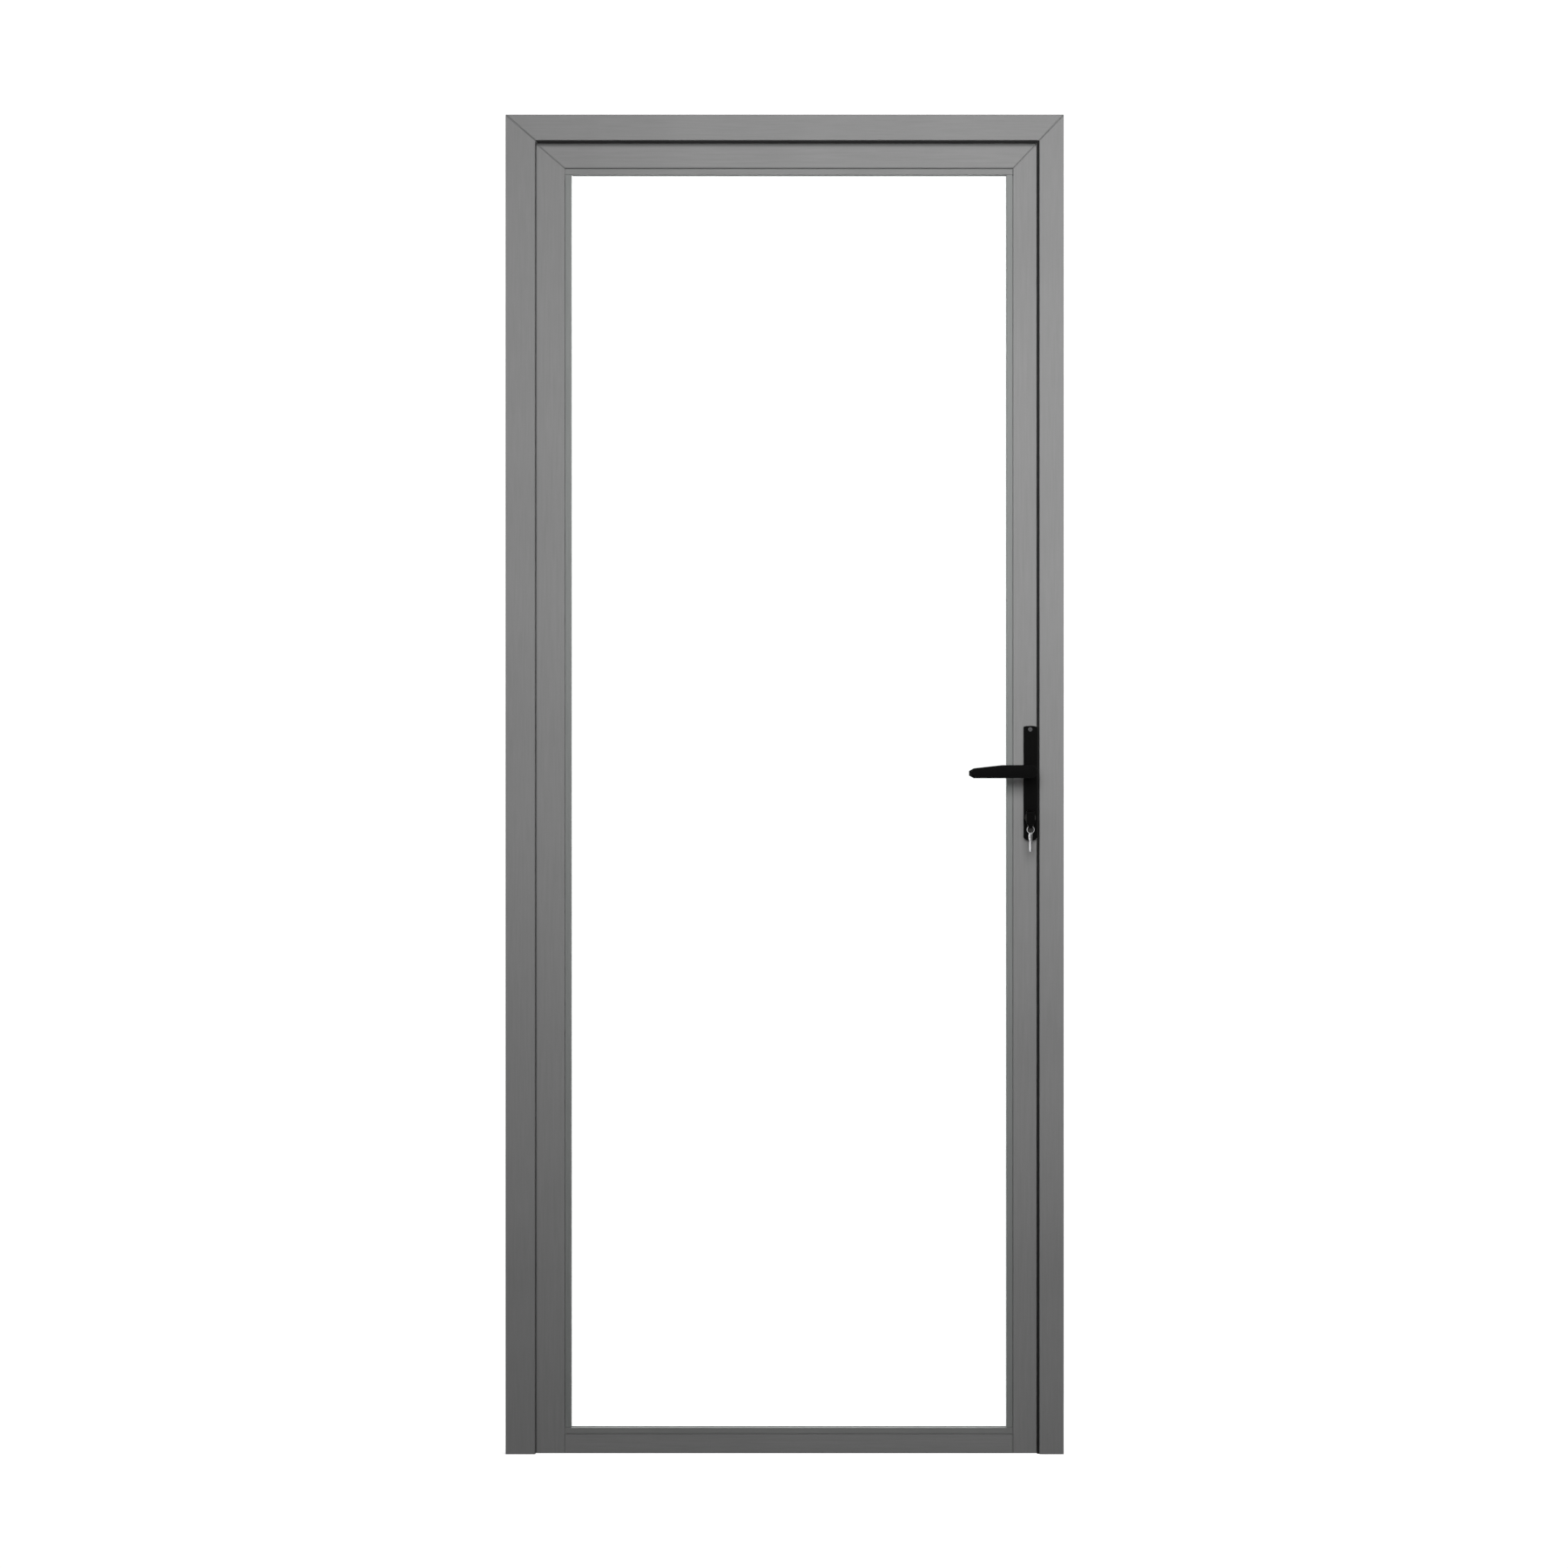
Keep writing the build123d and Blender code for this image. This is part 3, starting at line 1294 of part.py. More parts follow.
plate_screw = countersunk_screw(plate_screw_radius, plate_screw_head_radius, plate_screw_length)
plate_screw_places = [Location((lever_x, plate_front, z), facing_front) for z in plate_screw_heights]
plate_screw_places += [Location((lever_x, -plate_front, z), facing_back) for z in plate_screw_heights]
save(copies(plate_screw, plate_screw_places), "backplate_screws")


# Levers: a faceted bar that narrows to its tip, on a round journal that turns in the backplate

neck_start = plate_front - neck_clearance
grip_front = plate_front - grip_projection
grip_back = grip_front + grip_root_depth
grip_y = (grip_front + grip_back) / 2
grip_tip_x = lever_x - grip_reach
grip_bottom = -grip_root_height / 2
taper_x = grip_tip_x + grip_taper_start


def grip_section(x, depth, tall, middle, corner):
    """An eight-sided section of the grip at one place along it."""
    plane = Plane(origin=(x, grip_y, lever_height + middle), x_dir=(0, 1, 0), z_dir=(-1, 0, 0))
    with BuildSketch(plane) as section:
        Rectangle(depth, tall)
        chamfer(section.vertices(), length=corner)
    return section.sketch


tip_middle = grip_bottom + grip_tip_height / 2
grip_sections = [
    grip_section(lever_x, grip_root_depth, grip_root_height, 0, grip_corner),
    grip_section(taper_x, grip_root_depth, grip_root_height, 0, grip_corner),
    grip_section(grip_tip_x + grip_end_length, grip_tip_depth, grip_tip_height, tip_middle, grip_corner),
    grip_section(grip_tip_x, grip_end_depth, grip_end_height, tip_middle, grip_corner / 2),
]
with BuildPart() as outer_lever:
    with BuildSketch(Plane(origin=(lever_x, 0, lever_height), x_dir=(1, 0, 0), z_dir=(0, 0, 1))):
        with BuildLine():
            Polyline(
                (0, leaf_front - plate_wall),
                (journal_radius, leaf_front - plate_wall),
                (journal_radius, neck_start),
                (neck_radius, neck_start),
                (neck_radius, grip_back + neck_flare),
                (grip_root_height / 2, grip_back),
                (grip_root_height / 2, grip_front + grip_round),
                (grip_root_height / 2 - grip_round, grip_front),
                (0, grip_front),
                close=True,
            )
        make_face()
    revolve(axis=Axis((lever_x, 0, lever_height), (0, 1, 0)))
    for near, far in zip(grip_sections, grip_sections[1:]):
        loft(sections=[near, far], ruled=True)
    with BuildSketch(Plane.XZ.offset(-leaf_front + plate_wall)):
        with Locations((lever_x, lever_height)):
            Rectangle(spindle_size + 2 * spindle_fit, spindle_size + 2 * spindle_fit)
    extrude(amount=spindle_half_length + leaf_front - plate_wall + spindle_fit, mode=Mode.SUBTRACT)
    with BuildSketch(Plane.XY.offset(lever_height)):
        with Locations((lever_x, -grub_y)):
            Circle(grub_radius + screw_fit)
    extrude(amount=-grip_root_height, mode=Mode.SUBTRACT)
save(outer_lever.part, "outer_lever")

with BuildPart() as inner_lever:
    add(outer_lever.part)
    mirror(about=Plane.XZ, mode=Mode.REPLACE)
save(inner_lever.part, "inner_lever")

with BuildPart() as grub_screw:
    Cylinder(grub_radius, grub_length, align=(Align.CENTER, Align.CENTER, Align.MAX))
grub_top = lever_height - spindle_size / 2
save(copies(grub_screw.part, [(lever_x, -grub_y, grub_top), (lever_x, grub_y, grub_top)]), "grub_screws")
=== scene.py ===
import bmesh
import bpy
from math import cos, pi, radians, sin
from mathutils import Matrix, Vector


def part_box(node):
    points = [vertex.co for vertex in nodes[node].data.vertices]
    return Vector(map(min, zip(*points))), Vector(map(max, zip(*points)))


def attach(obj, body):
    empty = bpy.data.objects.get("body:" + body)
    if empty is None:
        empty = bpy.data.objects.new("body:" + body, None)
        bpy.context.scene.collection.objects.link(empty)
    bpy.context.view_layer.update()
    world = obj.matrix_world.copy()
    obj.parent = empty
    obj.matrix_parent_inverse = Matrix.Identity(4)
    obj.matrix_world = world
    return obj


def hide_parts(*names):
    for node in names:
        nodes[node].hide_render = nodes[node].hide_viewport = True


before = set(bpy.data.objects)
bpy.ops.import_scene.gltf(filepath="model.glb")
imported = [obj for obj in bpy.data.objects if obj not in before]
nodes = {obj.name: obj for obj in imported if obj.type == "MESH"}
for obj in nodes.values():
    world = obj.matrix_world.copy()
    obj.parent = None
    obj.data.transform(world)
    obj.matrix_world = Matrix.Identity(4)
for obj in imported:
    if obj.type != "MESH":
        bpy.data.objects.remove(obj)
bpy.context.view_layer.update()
scene = bpy.context.scene
millimetre = 0.001


# Frame members
# Two jambs and a head, sawn from aluminium extrusions with a stop nose and powder coated matt grey.
# The head is mitred into the jambs, and each mitre shows as a soft dark line. The coatings also
# carry painted shade along the gaps round the leaf and at the bead reveals.

def step(tree, kind, inputs=None, **settings):
    """Adds one node to a tree. An input is a plain value, or the output of an earlier node."""
    node = tree.nodes.new(kind)
    for setting, value in settings.items():
        setattr(node, setting, value)
    for socket, value in (inputs or {}).items():
        if isinstance(value, bpy.types.NodeSocket):
            tree.links.new(value, node.inputs[socket])
        else:
            node.inputs[socket].default_value = value
    return node


def new_group(name, kind, inputs, outputs):
    """A node group with named inputs, each with its usual value, and named outputs."""
    group = bpy.data.node_groups.new(name, kind)
    for title, (socket, usual) in inputs.items():
        added = group.interface.new_socket(title, in_out="INPUT", socket_type=socket)
        if usual is not None:
            added.default_value = usual
    for title, socket in outputs.items():
        group.interface.new_socket(title, in_out="OUTPUT", socket_type=socket)
    given = group.nodes.new("NodeGroupInput").outputs
    result = group.nodes.new("NodeGroupOutput").inputs
    return group, given, result


def make_surface_grain():
    """Fine specks over slow clouds, as a colour, a roughness and a height."""
    group, given, result = new_group(
        "surface_grain",
        "ShaderNodeTree",
        {
            "Dark": ("NodeSocketColor", (0.2, 0.2, 0.2, 1)),
            "Light": ("NodeSocketColor", (0.3, 0.3, 0.3, 1)),
            "Stretch": ("NodeSocketVector", (1, 1, 1)),
            "Speck Scale": ("NodeSocketFloat", 900.0),
            "Cloud Scale": ("NodeSocketFloat", 5.0),
            "Cloud Share": ("NodeSocketFloat", 0.45),
            "Smoothest": ("NodeSocketFloat", 0.4),
            "Roughest": ("NodeSocketFloat", 0.6),
        },
        {
            "Colour": "NodeSocketColor",
            "Roughness": "NodeSocketFloat",
            "Height": "NodeSocketFloat",
        },
    )
    place = step(group, "ShaderNodeTexCoord").outputs["Object"]
    stretched = step(group, "ShaderNodeMapping", {"Vector": place, "Scale": given["Stretch"]})
    specks = step(
        group,
        "ShaderNodeTexNoise",
        {"Vector": stretched.outputs["Vector"], "Scale": given["Speck Scale"], "Detail": 3.0},
    ).outputs["Fac"]
    clouds = step(
        group,
        "ShaderNodeTexNoise",
        {"Vector": place, "Scale": given["Cloud Scale"], "Detail": 4.0},
    ).outputs["Fac"]
    both = step(group, "ShaderNodeMix", {0: given["Cloud Share"], 2: specks, 3: clouds}).outputs[0]
    spread = step(group, "ShaderNodeMapRange", {"Value": both, "From Min": 0.35, "From Max": 0.65})
    share = spread.outputs["Result"]
    colour = step(
        group,
        "ShaderNodeMix",
        {0: share, 6: given["Dark"], 7: given["Light"]},
        data_type="RGBA",
    ).outputs[2]
    roughness = step(
        group,
        "ShaderNodeMapRange",
        {"Value": share, "To Min": given["Smoothest"], "To Max": given["Roughest"]},
    ).outputs["Result"]
    group.links.new(colour, result["Colour"])
    group.links.new(roughness, result["Roughness"])
    group.links.new(specks, result["Height"])
    return group


def make_seam_and_shade_line():
    """A mask along a line, from its corner on, that fades to nothing beside it: a dark seam, or a
    strip of painted shade.
    """
    group, given, result = new_group(
        "seam_and_shade_line",
        "ShaderNodeTree",
        {
            "Corner": ("NodeSocketVector", (0, 0, 0)),
            "Towards": ("NodeSocketVector", (1, 0, -1)),
            "Width": ("NodeSocketFloat", 0.0024),
            "Strength": ("NodeSocketFloat", 0.3),
        },
        {"Mask": "NodeSocketFloat"},
    )
    place = step(group, "ShaderNodeTexCoord").outputs["Object"]
    from_corner = step(
        group, "ShaderNodeVectorMath", {0: place, 1: given["Corner"]}, operation="SUBTRACT"
    ).outputs[0]
    flat = step(
        group, "ShaderNodeVectorMath", {0: from_corner, 1: (1, 0, 1)}, operation="MULTIPLY"
    ).outputs[0]
    along = step(
        group, "ShaderNodeVectorMath", {0: given["Towards"]}, operation="NORMALIZE"
    ).outputs[0]
    across = step(
        group, "ShaderNodeVectorMath", {0: flat, 1: along}, operation="CROSS_PRODUCT"
    ).outputs[0]
    away = step(group, "ShaderNodeVectorMath", {0: across}, operation="LENGTH").outputs["Value"]
    reach = step(
        group, "ShaderNodeVectorMath", {0: given["Towards"]}, operation="LENGTH"
    ).outputs["Value"]
    far = step(
        group, "ShaderNodeVectorMath", {0: flat, 1: along}, operation="DOT_PRODUCT"
    ).outputs["Value"]
    middle = step(group, "ShaderNodeMath", {0: reach, 1: 0.5}, operation="MULTIPLY").outputs[0]
    near = step(
        group, "ShaderNodeMath", {0: far, 1: middle, 2: middle}, operation="COMPARE"
    ).outputs[0]
    fade = step(
        group,
        "ShaderNodeMapRange",
        {
            "Value": away,
            "From Min": 0.0,
            "From Max": given["Width"],
            "To Min": given["Strength"],
            "To Max": 0.0,
        },
        interpolation_type="SMOOTHSTEP",
    ).outputs["Result"]
    mask = step(group, "ShaderNodeMath", {0: fade, 1: near}, operation="MULTIPLY").outputs[0]
    group.links.new(mask, result["Mask"])
    return group


surface_grain = make_surface_grain()
seam_and_shade_line = make_seam_and_shade_line()


def finish(
    name,
    dark,
    light,
    smoothest,
    roughest,
    specks=900.0,
    stretch=(1, 1, 1),
    clouds=5.0,
    cloud_share=0.45,
    relief=0.2,
    depth=0.1 * millimetre,
    metallic=0.0,
    specular=0.5,
):
    """A material whose colour, roughness and relief come from the surface grain."""
    material = bpy.data.materials.new(name)
    material.use_nodes = True
    tree = material.node_tree
    shader = tree.nodes["Principled BSDF"]
    grain = step(
        tree,
        "ShaderNodeGroup",
        {
            "Dark": (*dark, 1),
            "Light": (*light, 1),
            "Stretch": stretch,
            "Speck Scale": specks,
            "Cloud Scale": clouds,
            "Cloud Share": cloud_share,
            "Smoothest": smoothest,
            "Roughest": roughest,
        },
        node_tree=surface_grain,
    )
    bump = step(
        tree,
        "ShaderNodeBump",
        {"Strength": relief, "Distance": depth, "Height": grain.outputs["Height"]},
    )
    tree.links.new(grain.outputs["Colour"], shader.inputs["Base Color"])
    tree.links.new(grain.outputs["Roughness"], shader.inputs["Roughness"])
    tree.links.new(bump.outputs["Normal"], shader.inputs["Normal"])
    shader.inputs["Metallic"].default_value = metallic
    shader.inputs["Specular IOR Level"].default_value = specular
    return material


def paint_seams_and_shade(material, lines, seam_and_shade_colour=(0.02, 0.022, 0.021, 1)):
    """Darkens a material along the given lines with a near-black colour: dark seams, and painted
    shade in the gaps and reveals.
    """
    tree = material.node_tree
    shader = tree.nodes["Principled BSDF"]
    colour = shader.inputs["Base Color"].links[0].from_socket
    shade = None
    for corner, towards, strength, width in lines:
        mask = step(
            tree,
            "ShaderNodeGroup",
            {"Corner": corner, "Towards": towards, "Strength": strength, "Width": width},
            node_tree=seam_and_shade_line,
        ).outputs["Mask"]
        if shade is None:
            shade = mask
        else:
            shade = step(
                tree, "ShaderNodeMath", {0: shade, 1: mask}, operation="MAXIMUM"
            ).outputs[0]
    mixed = step(tree, "ShaderNodeMix", {0: shade, 6: colour, 7: seam_and_shade_colour}, data_type="RGBA")
    tree.links.new(mixed.outputs[2], shader.inputs["Base Color"])


def give(material, *names):
    """Gives one material to CAD nodes that keep their own shape."""
    for name in names:
        nodes[name].data.materials.clear()
        nodes[name].data.materials.append(material)


hinge_gap = 1.1 * millimetre
lock_gap = 4.5 * millimetre
top_gap = 5.0 * millimetre
rail_gap = 0.15 * millimetre
glass_clearance = 4.0 * millimetre
hinge_jamb_low, hinge_jamb_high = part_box("jamb_hinge_side")
lock_jamb_low, lock_jamb_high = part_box("jamb_lock_side")
head_low, head_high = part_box("head")
rail_low, rail_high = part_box("bottom_rail")
glass_low, glass_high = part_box("glass_pane")
leaf_left = hinge_jamb_high.x + hinge_gap
leaf_right = lock_jamb_low.x - lock_gap
leaf_top = head_low.z - top_gap
sight_left = rail_low.x - rail_gap
sight_right = rail_high.x + rail_gap
sight_top = glass_high.z + glass_clearance
sight_bottom = glass_low.z - glass_clearance


# Height of a painted shadow along the top of the top rail, where the head shades it.
top_shade = leaf_top - 1.0 * millimetre
bead_end = sight_top - 12.0 * millimetre


def dark_line(from_x, from_z, to_x, to_z, strength, half_width=2.4):
    """A dark line seen from the front, from one end to the other: corner, direction and strength.
    It serves the seams and the painted shade alike.
    """
    towards = (to_x - from_x, 0, to_z - from_z)
    return (from_x, 0, from_z), towards, strength, half_width * millimetre


frame_joints = [
    dark_line(hinge_jamb_low.x, head_high.z, hinge_jamb_high.x, head_low.z, 0.42),
    dark_line(lock_jamb_high.x, head_high.z, lock_jamb_low.x, head_low.z, 0.38),
]
# Seams of the leaf: the mitres and the butt joints of the bottom rail, and then two lines of
# painted shade.
leaf_seams_and_shade = [
    dark_line(leaf_left, leaf_top, sight_left, sight_top, 0.32),
    dark_line(leaf_right, leaf_top, sight_right, sight_top, 0.28),
    dark_line(sight_left, 0, sight_left, sight_bottom, 0.14),
    dark_line(sight_right, 0, sight_right, sight_bottom, 0.34),
    # Painted shadow: darkens the top of the top rail just under the head, as the head's shade
    # would.
    dark_line(leaf_left, top_shade, leaf_right, top_shade, 0.75, half_width=6.0),
    # Painted shade along the hinge-side gap, on the edges of the jamb and the stile.
    dark_line(leaf_left, 0, leaf_left, leaf_top, 0.28, half_width=3.5),
]
# Painted shade in the reveal where the glazing beads meet the leaf, strongest along the right-hand
# bead.
bead_reveal_shade = [
    dark_line(sight_left, sight_top, sight_right, sight_top, 0.5, half_width=3.0),
    dark_line(sight_right, sight_top, sight_right, bead_end, 0.7, half_width=1.5),
    dark_line(sight_right, sight_bottom, sight_right, sight_top, 0.3, half_width=1.5),
    dark_line(sight_right, sight_bottom, sight_left, sight_bottom, 0.2, half_width=1.5),
]

coating_dark = (0.212, 0.212, 0.212)
coating_light = (0.246, 0.246, 0.246)
coating_gloss = 0.25
coating_smooth = 0.46
coating_rough = 0.6
upright_coating = finish(
    "upright_coating",
    coating_dark,
    coating_light,
    coating_smooth,
    coating_rough,
    specular=coating_gloss,
    specks=420.0,
    stretch=(1, 1, 0.04),
    cloud_share=0.6,
)
level_coating = finish(
    "level_coating",
    coating_dark,
    coating_light,
    coating_smooth,
    coating_rough,
    specular=coating_gloss,
    specks=420.0,
    stretch=(0.04, 1, 1),
    cloud_share=0.5,
)
# Each coating gets the frame and leaf seams as dark lines, and painted shade: under the head, in
# the hinge-side gap and at the bead reveals.
for coating in (upright_coating, level_coating):
    paint_seams_and_shade(coating, frame_joints + leaf_seams_and_shade + bead_reveal_shade)
give(upright_coating, "jamb_hinge_side", "jamb_lock_side")
give(level_coating, "head")


# Corner cleats
# Angle blocks sawn from solid bar, one in each mitred corner of the frame and of the leaf. They are
# left bare, with the marks of the saw across them.

sawn_aluminium = finish(
    "sawn_aluminium",
    (0.5, 0.5, 0.51),
    (0.7, 0.7, 0.71),
    0.24,
    0.46,
    specks=160.0,
    stretch=(1, 1, 10),
    relief=0.4,
    metallic=1.0,
)
give(sawn_aluminium, "frame_corner_cleats", "leaf_corner_cleats")


# Stop gaskets
# Extruded rubber strips, pushed into the groove of the stop nose, that close the gap round the
# leaf. The die leaves fine lines along them.

upright_rubber = finish(
    "upright_rubber",
    (0.008, 0.008, 0.008),
    (0.022, 0.022, 0.022),
    0.55,
    0.8,
    specular=0.2,
    specks=700.0,
    stretch=(1, 1, 0.02),
)
level_rubber = finish(
    "level_rubber",
    (0.008, 0.008, 0.008),
    (0.022, 0.022, 0.022),
    0.55,
    0.8,
    specular=0.2,
    specks=700.0,
    stretch=(0.02, 1, 1),
)
give(upright_rubber, "stop_gasket_hinge_side", "stop_gasket_lock_side")
give(level_rubber, "stop_gasket_head")


# Hole caps
# Moulded plastic plugs over the wall fixings, four in each jamb: a low domed head with a stepped
# rim, on a short round plug that grips the hole.

def solids_of(name):
    """The lowest and highest corner of each separate solid of a CAD node."""
    copy = bmesh.new()
    copy.from_mesh(nodes[name].data)
    bmesh.ops.remove_doubles(copy, verts=copy.verts, dist=0.01 * millimetre)
    waiting = set(copy.verts)
    boxes = []
    while waiting:
        front = [waiting.pop()]
        found = []
        while front:
            vertex = front.pop()
            found.append(vertex.co.copy())
            for edge in vertex.link_edges:
                other = edge.other_vert(vertex)
                if other in waiting:
                    waiting.remove(other)
                    front.append(other)
        lowest = Vector([min(place[axis] for place in found) for axis in range(3)])
        highest = Vector([max(place[axis] for place in found) for axis in range(3)])
        boxes.append((lowest, highest))
    copy.free()
    return sorted(boxes, key=lambda box: tuple(box[0]))


def tops_of(name, facing):
    """The middle of the outer face of each solid of a CAD node, and the way that the face looks."""
    tops = []
    for lowest, highest in solids_of(name):
        middle = (lowest + highest) / 2
        half = (highest - lowest) / 2
        out = Vector(facing(middle))
        tops.append((middle + out * half, out))
    return tops


def make_setter():
    """Sets a piece on every point, facing as the point says and turned about itself by chance."""
    group, given, result = new_group(
        "set_in_place",
        "GeometryNodeTree",
        {
            "Places": ("NodeSocketGeometry", None),
            "Piece": ("NodeSocketGeometry", None),
            "Turn": ("NodeSocketFloat", 0.0),
            "Finish": ("NodeSocketMaterial", None),
        },
        {"Geometry": "NodeSocketGeometry"},
    )
    facing = step(
        group, "GeometryNodeInputNamedAttribute", {"Name": "facing"}, data_type="FLOAT_VECTOR"
    ).outputs["Attribute"]
    upright = step(
        group, "FunctionNodeAlignRotationToVector", {"Vector": facing}, axis="Z"
    ).outputs["Rotation"]
    chance = step(
        group, "FunctionNodeRandomValue", {2: 0.0, 3: given["Turn"], 8: 5}, data_type="FLOAT"
    ).outputs[1]
    spin = step(group, "ShaderNodeCombineXYZ", {"Z": chance}).outputs["Vector"]
    turn = step(group, "FunctionNodeEulerToRotation", {"Euler": spin}).outputs["Rotation"]
    placed = step(
        group,
        "GeometryNodeInstanceOnPoints",
        {"Points": given["Places"], "Instance": given["Piece"], "Rotation": upright},
    ).outputs["Instances"]
    turned = step(
        group, "GeometryNodeRotateInstances", {"Instances": placed, "Rotation": turn}
    ).outputs["Instances"]
    real = step(group, "GeometryNodeRealizeInstances", {"Geometry": turned}).outputs["Geometry"]
    done = step(
        group, "GeometryNodeSetMaterial", {"Geometry": real, "Material": given["Finish"]}
    ).outputs["Geometry"]
    group.links.new(done, result["Geometry"])
    return group


set_in_place = make_setter()


def reckon(tree, operation, first, second):
    """One sum inside a tree."""
    return step(tree, "ShaderNodeMath", {0: first, 1: second}, operation=operation).outputs[0]


def lift(tree, shape, height, turn=(0, 0, 0)):
    """Moves a shape up by a height, and turns it."""
    offset = step(tree, "ShaderNodeCombineXYZ", {"Z": height}).outputs["Vector"]
    return step(
        tree,
        "GeometryNodeTransform",
        {"Geometry": shape, "Translation": offset, "Rotation": turn},
    ).outputs["Geometry"]


def cone(tree, top_radius, foot_radius, height, foot_height, sides=40):
    """A turned length of a piece that narrows or widens upwards from its foot."""
    shape = step(
        tree,
        "GeometryNodeMeshCone",
        {
            "Vertices": sides,
            "Radius Top": top_radius,
            "Radius Bottom": foot_radius,
            "Depth": height,
        },
    ).outputs["Mesh"]
    return lift(tree, shape, foot_height)


def join(tree, *shapes):
    """Several shapes as one."""
    node = step(tree, "GeometryNodeJoinGeometry")
    for shape in reversed(shapes):
        tree.links.new(shape, node.inputs["Geometry"])
    return node.outputs["Geometry"]


def set_pieces(tree, given, result, piece, turn=0.0):
    """Ends a tree: sets the piece that it has made on the given places."""
    done = step(
        tree,
        "GeometryNodeGroup",
        {"Places": given["Places"], "Piece": piece, "Turn": turn, "Finish": given["Finish"]},
        node_tree=set_in_place,
    ).outputs["Geometry"]
    tree.links.new(done, result["Geometry"])


def new_making_tree(name, sizes):
    """A tree that makes a piece from named sizes, to be set on the given places."""
    inputs = {"Places": ("NodeSocketGeometry", None)}
    for title in sizes:
        inputs[title] = ("NodeSocketFloat", 0.0)
    inputs["Finish"] = ("NodeSocketMaterial", None)
    return new_group(name, "GeometryNodeTree", inputs, {"Geometry": "NodeSocketGeometry"})


def make_pieces(name, tree, tops, sizes, node, body):
    """Runs a tree on a set of places and keeps what it makes as a mesh, instead of a CAD node."""
    points = bpy.data.meshes.new(name)
    points.from_pydata([place for place, facing in tops], [], [])
    looks = points.attributes.new("facing", "FLOAT_VECTOR", "POINT")
    looks.data.foreach_set("vector", [part for place, facing in tops for part in facing])
    piece = bpy.data.objects.new(name, points)
    scene.collection.objects.link(piece)
    making = piece.modifiers.new("making", "NODES")
    making.node_group = tree
    for socket in tree.interface.items_tree:
        if socket.in_out == "INPUT" and socket.name in sizes:
            making[socket.identifier] = sizes[socket.name]
    made = bpy.data.meshes.new_from_object(
        piece.evaluated_get(bpy.context.evaluated_depsgraph_get())
    )
    piece.modifiers.remove(making)
    piece.data = made
    smooth_but_crisp(made)
    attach(piece, body)
    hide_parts(node)
    return piece


def smooth_but_crisp(mesh, crease=35):
    """Smooth shading that keeps edges sharper than the crease angle."""
    mesh.polygons.foreach_set("use_smooth", [True] * len(mesh.polygons))
    mesh.set_sharp_from_angle(angle=radians(crease))


def make_cap_tree():
    """A hole cap: plug, stepped rim and low dome."""
    sizes = ("Rim Radius", "Rim Height", "Plug Radius", "Plug Length")
    tree, given, result = new_making_tree("hole_caps", sizes)
    step_height = reckon(tree, "MULTIPLY", given["Rim Height"], 0.55)
    dome_height = reckon(tree, "SUBTRACT", given["Rim Height"], step_height)
    dome_foot = reckon(tree, "MULTIPLY", dome_height, -1.0)
    step_foot = reckon(tree, "MULTIPLY", given["Rim Height"], -1.0)
    inner = reckon(tree, "MULTIPLY", given["Rim Radius"], 0.82)
    dome_top = reckon(tree, "MULTIPLY", given["Rim Radius"], 0.6)
    edge = reckon(tree, "MULTIPLY", given["Rim Radius"], 0.96)
    rim = cone(tree, edge, given["Rim Radius"], step_height, step_foot)
    dome = cone(tree, dome_top, inner, dome_height, dome_foot)
    plug_foot = reckon(tree, "SUBTRACT", step_foot, given["Plug Length"])
    plug_foot_radius = reckon(tree, "MULTIPLY", given["Plug Radius"], 0.93)
    plug = cone(tree, given["Plug Radius"], plug_foot_radius, given["Plug Length"], plug_foot)
    set_pieces(tree, given, result, join(tree, rim, dome, plug), 2 * pi)
    return tree


black_plastic = finish(
    "black_plastic",
    (0.008, 0.008, 0.009),
    (0.02, 0.02, 0.021),
    0.45,
    0.62,
    specks=1400.0,
    specular=0.2,
)
make_pieces(
    "hole_caps",
    make_cap_tree(),
    tops_of("anchor_hole_caps", lambda middle: (1, 0, 0) if middle.x < 0 else (-1, 0, 0)),
    {
        "Rim Radius": 9.5 * millimetre,
        "Rim Height": 1.2 * millimetre,
        "Plug Radius": 7.95 * millimetre,
        "Plug Length": 2.0 * millimetre,
        "Finish": black_plastic,
    },
    "anchor_hole_caps",
    "frame",
)


# Strike plate and its screws
# A flat zinc-plated steel plate over the pockets in the lock jamb, held by two countersunk screws
# with cross recesses and a rolled thread.

def roll_thread(tree, radius, pitch, length, foot_height):
    """The core of a screw and the one continuous thread rolled on it, from the foot upwards."""
    core_radius = reckon(tree, "MULTIPLY", radius, 0.82)
    ridge_radius = reckon(tree, "MULTIPLY", radius, 0.16)
    path_radius = reckon(tree, "MULTIPLY", radius, 0.84)
    turns = reckon(tree, "DIVIDE", length, pitch)
    core = cone(tree, core_radius, core_radius, length, foot_height, 20)
    path = step(
        tree,
        "GeometryNodeCurveSpiral",
        {
            "Resolution": 14,
            "Rotations": turns,
            "Start Radius": path_radius,
            "End Radius": path_radius,
            "Height": length,
        },
    ).outputs["Curve"]
    ridge = step(
        tree, "GeometryNodeCurvePrimitiveCircle", {"Resolution": 3, "Radius": ridge_radius}
    ).outputs["Curve"]
    thread = step(
        tree,
        "GeometryNodeCurveToMesh",
        {"Curve": path, "Profile Curve": ridge, "Fill Caps": True},
    ).outputs["Mesh"]
    return core, lift(tree, thread, foot_height)


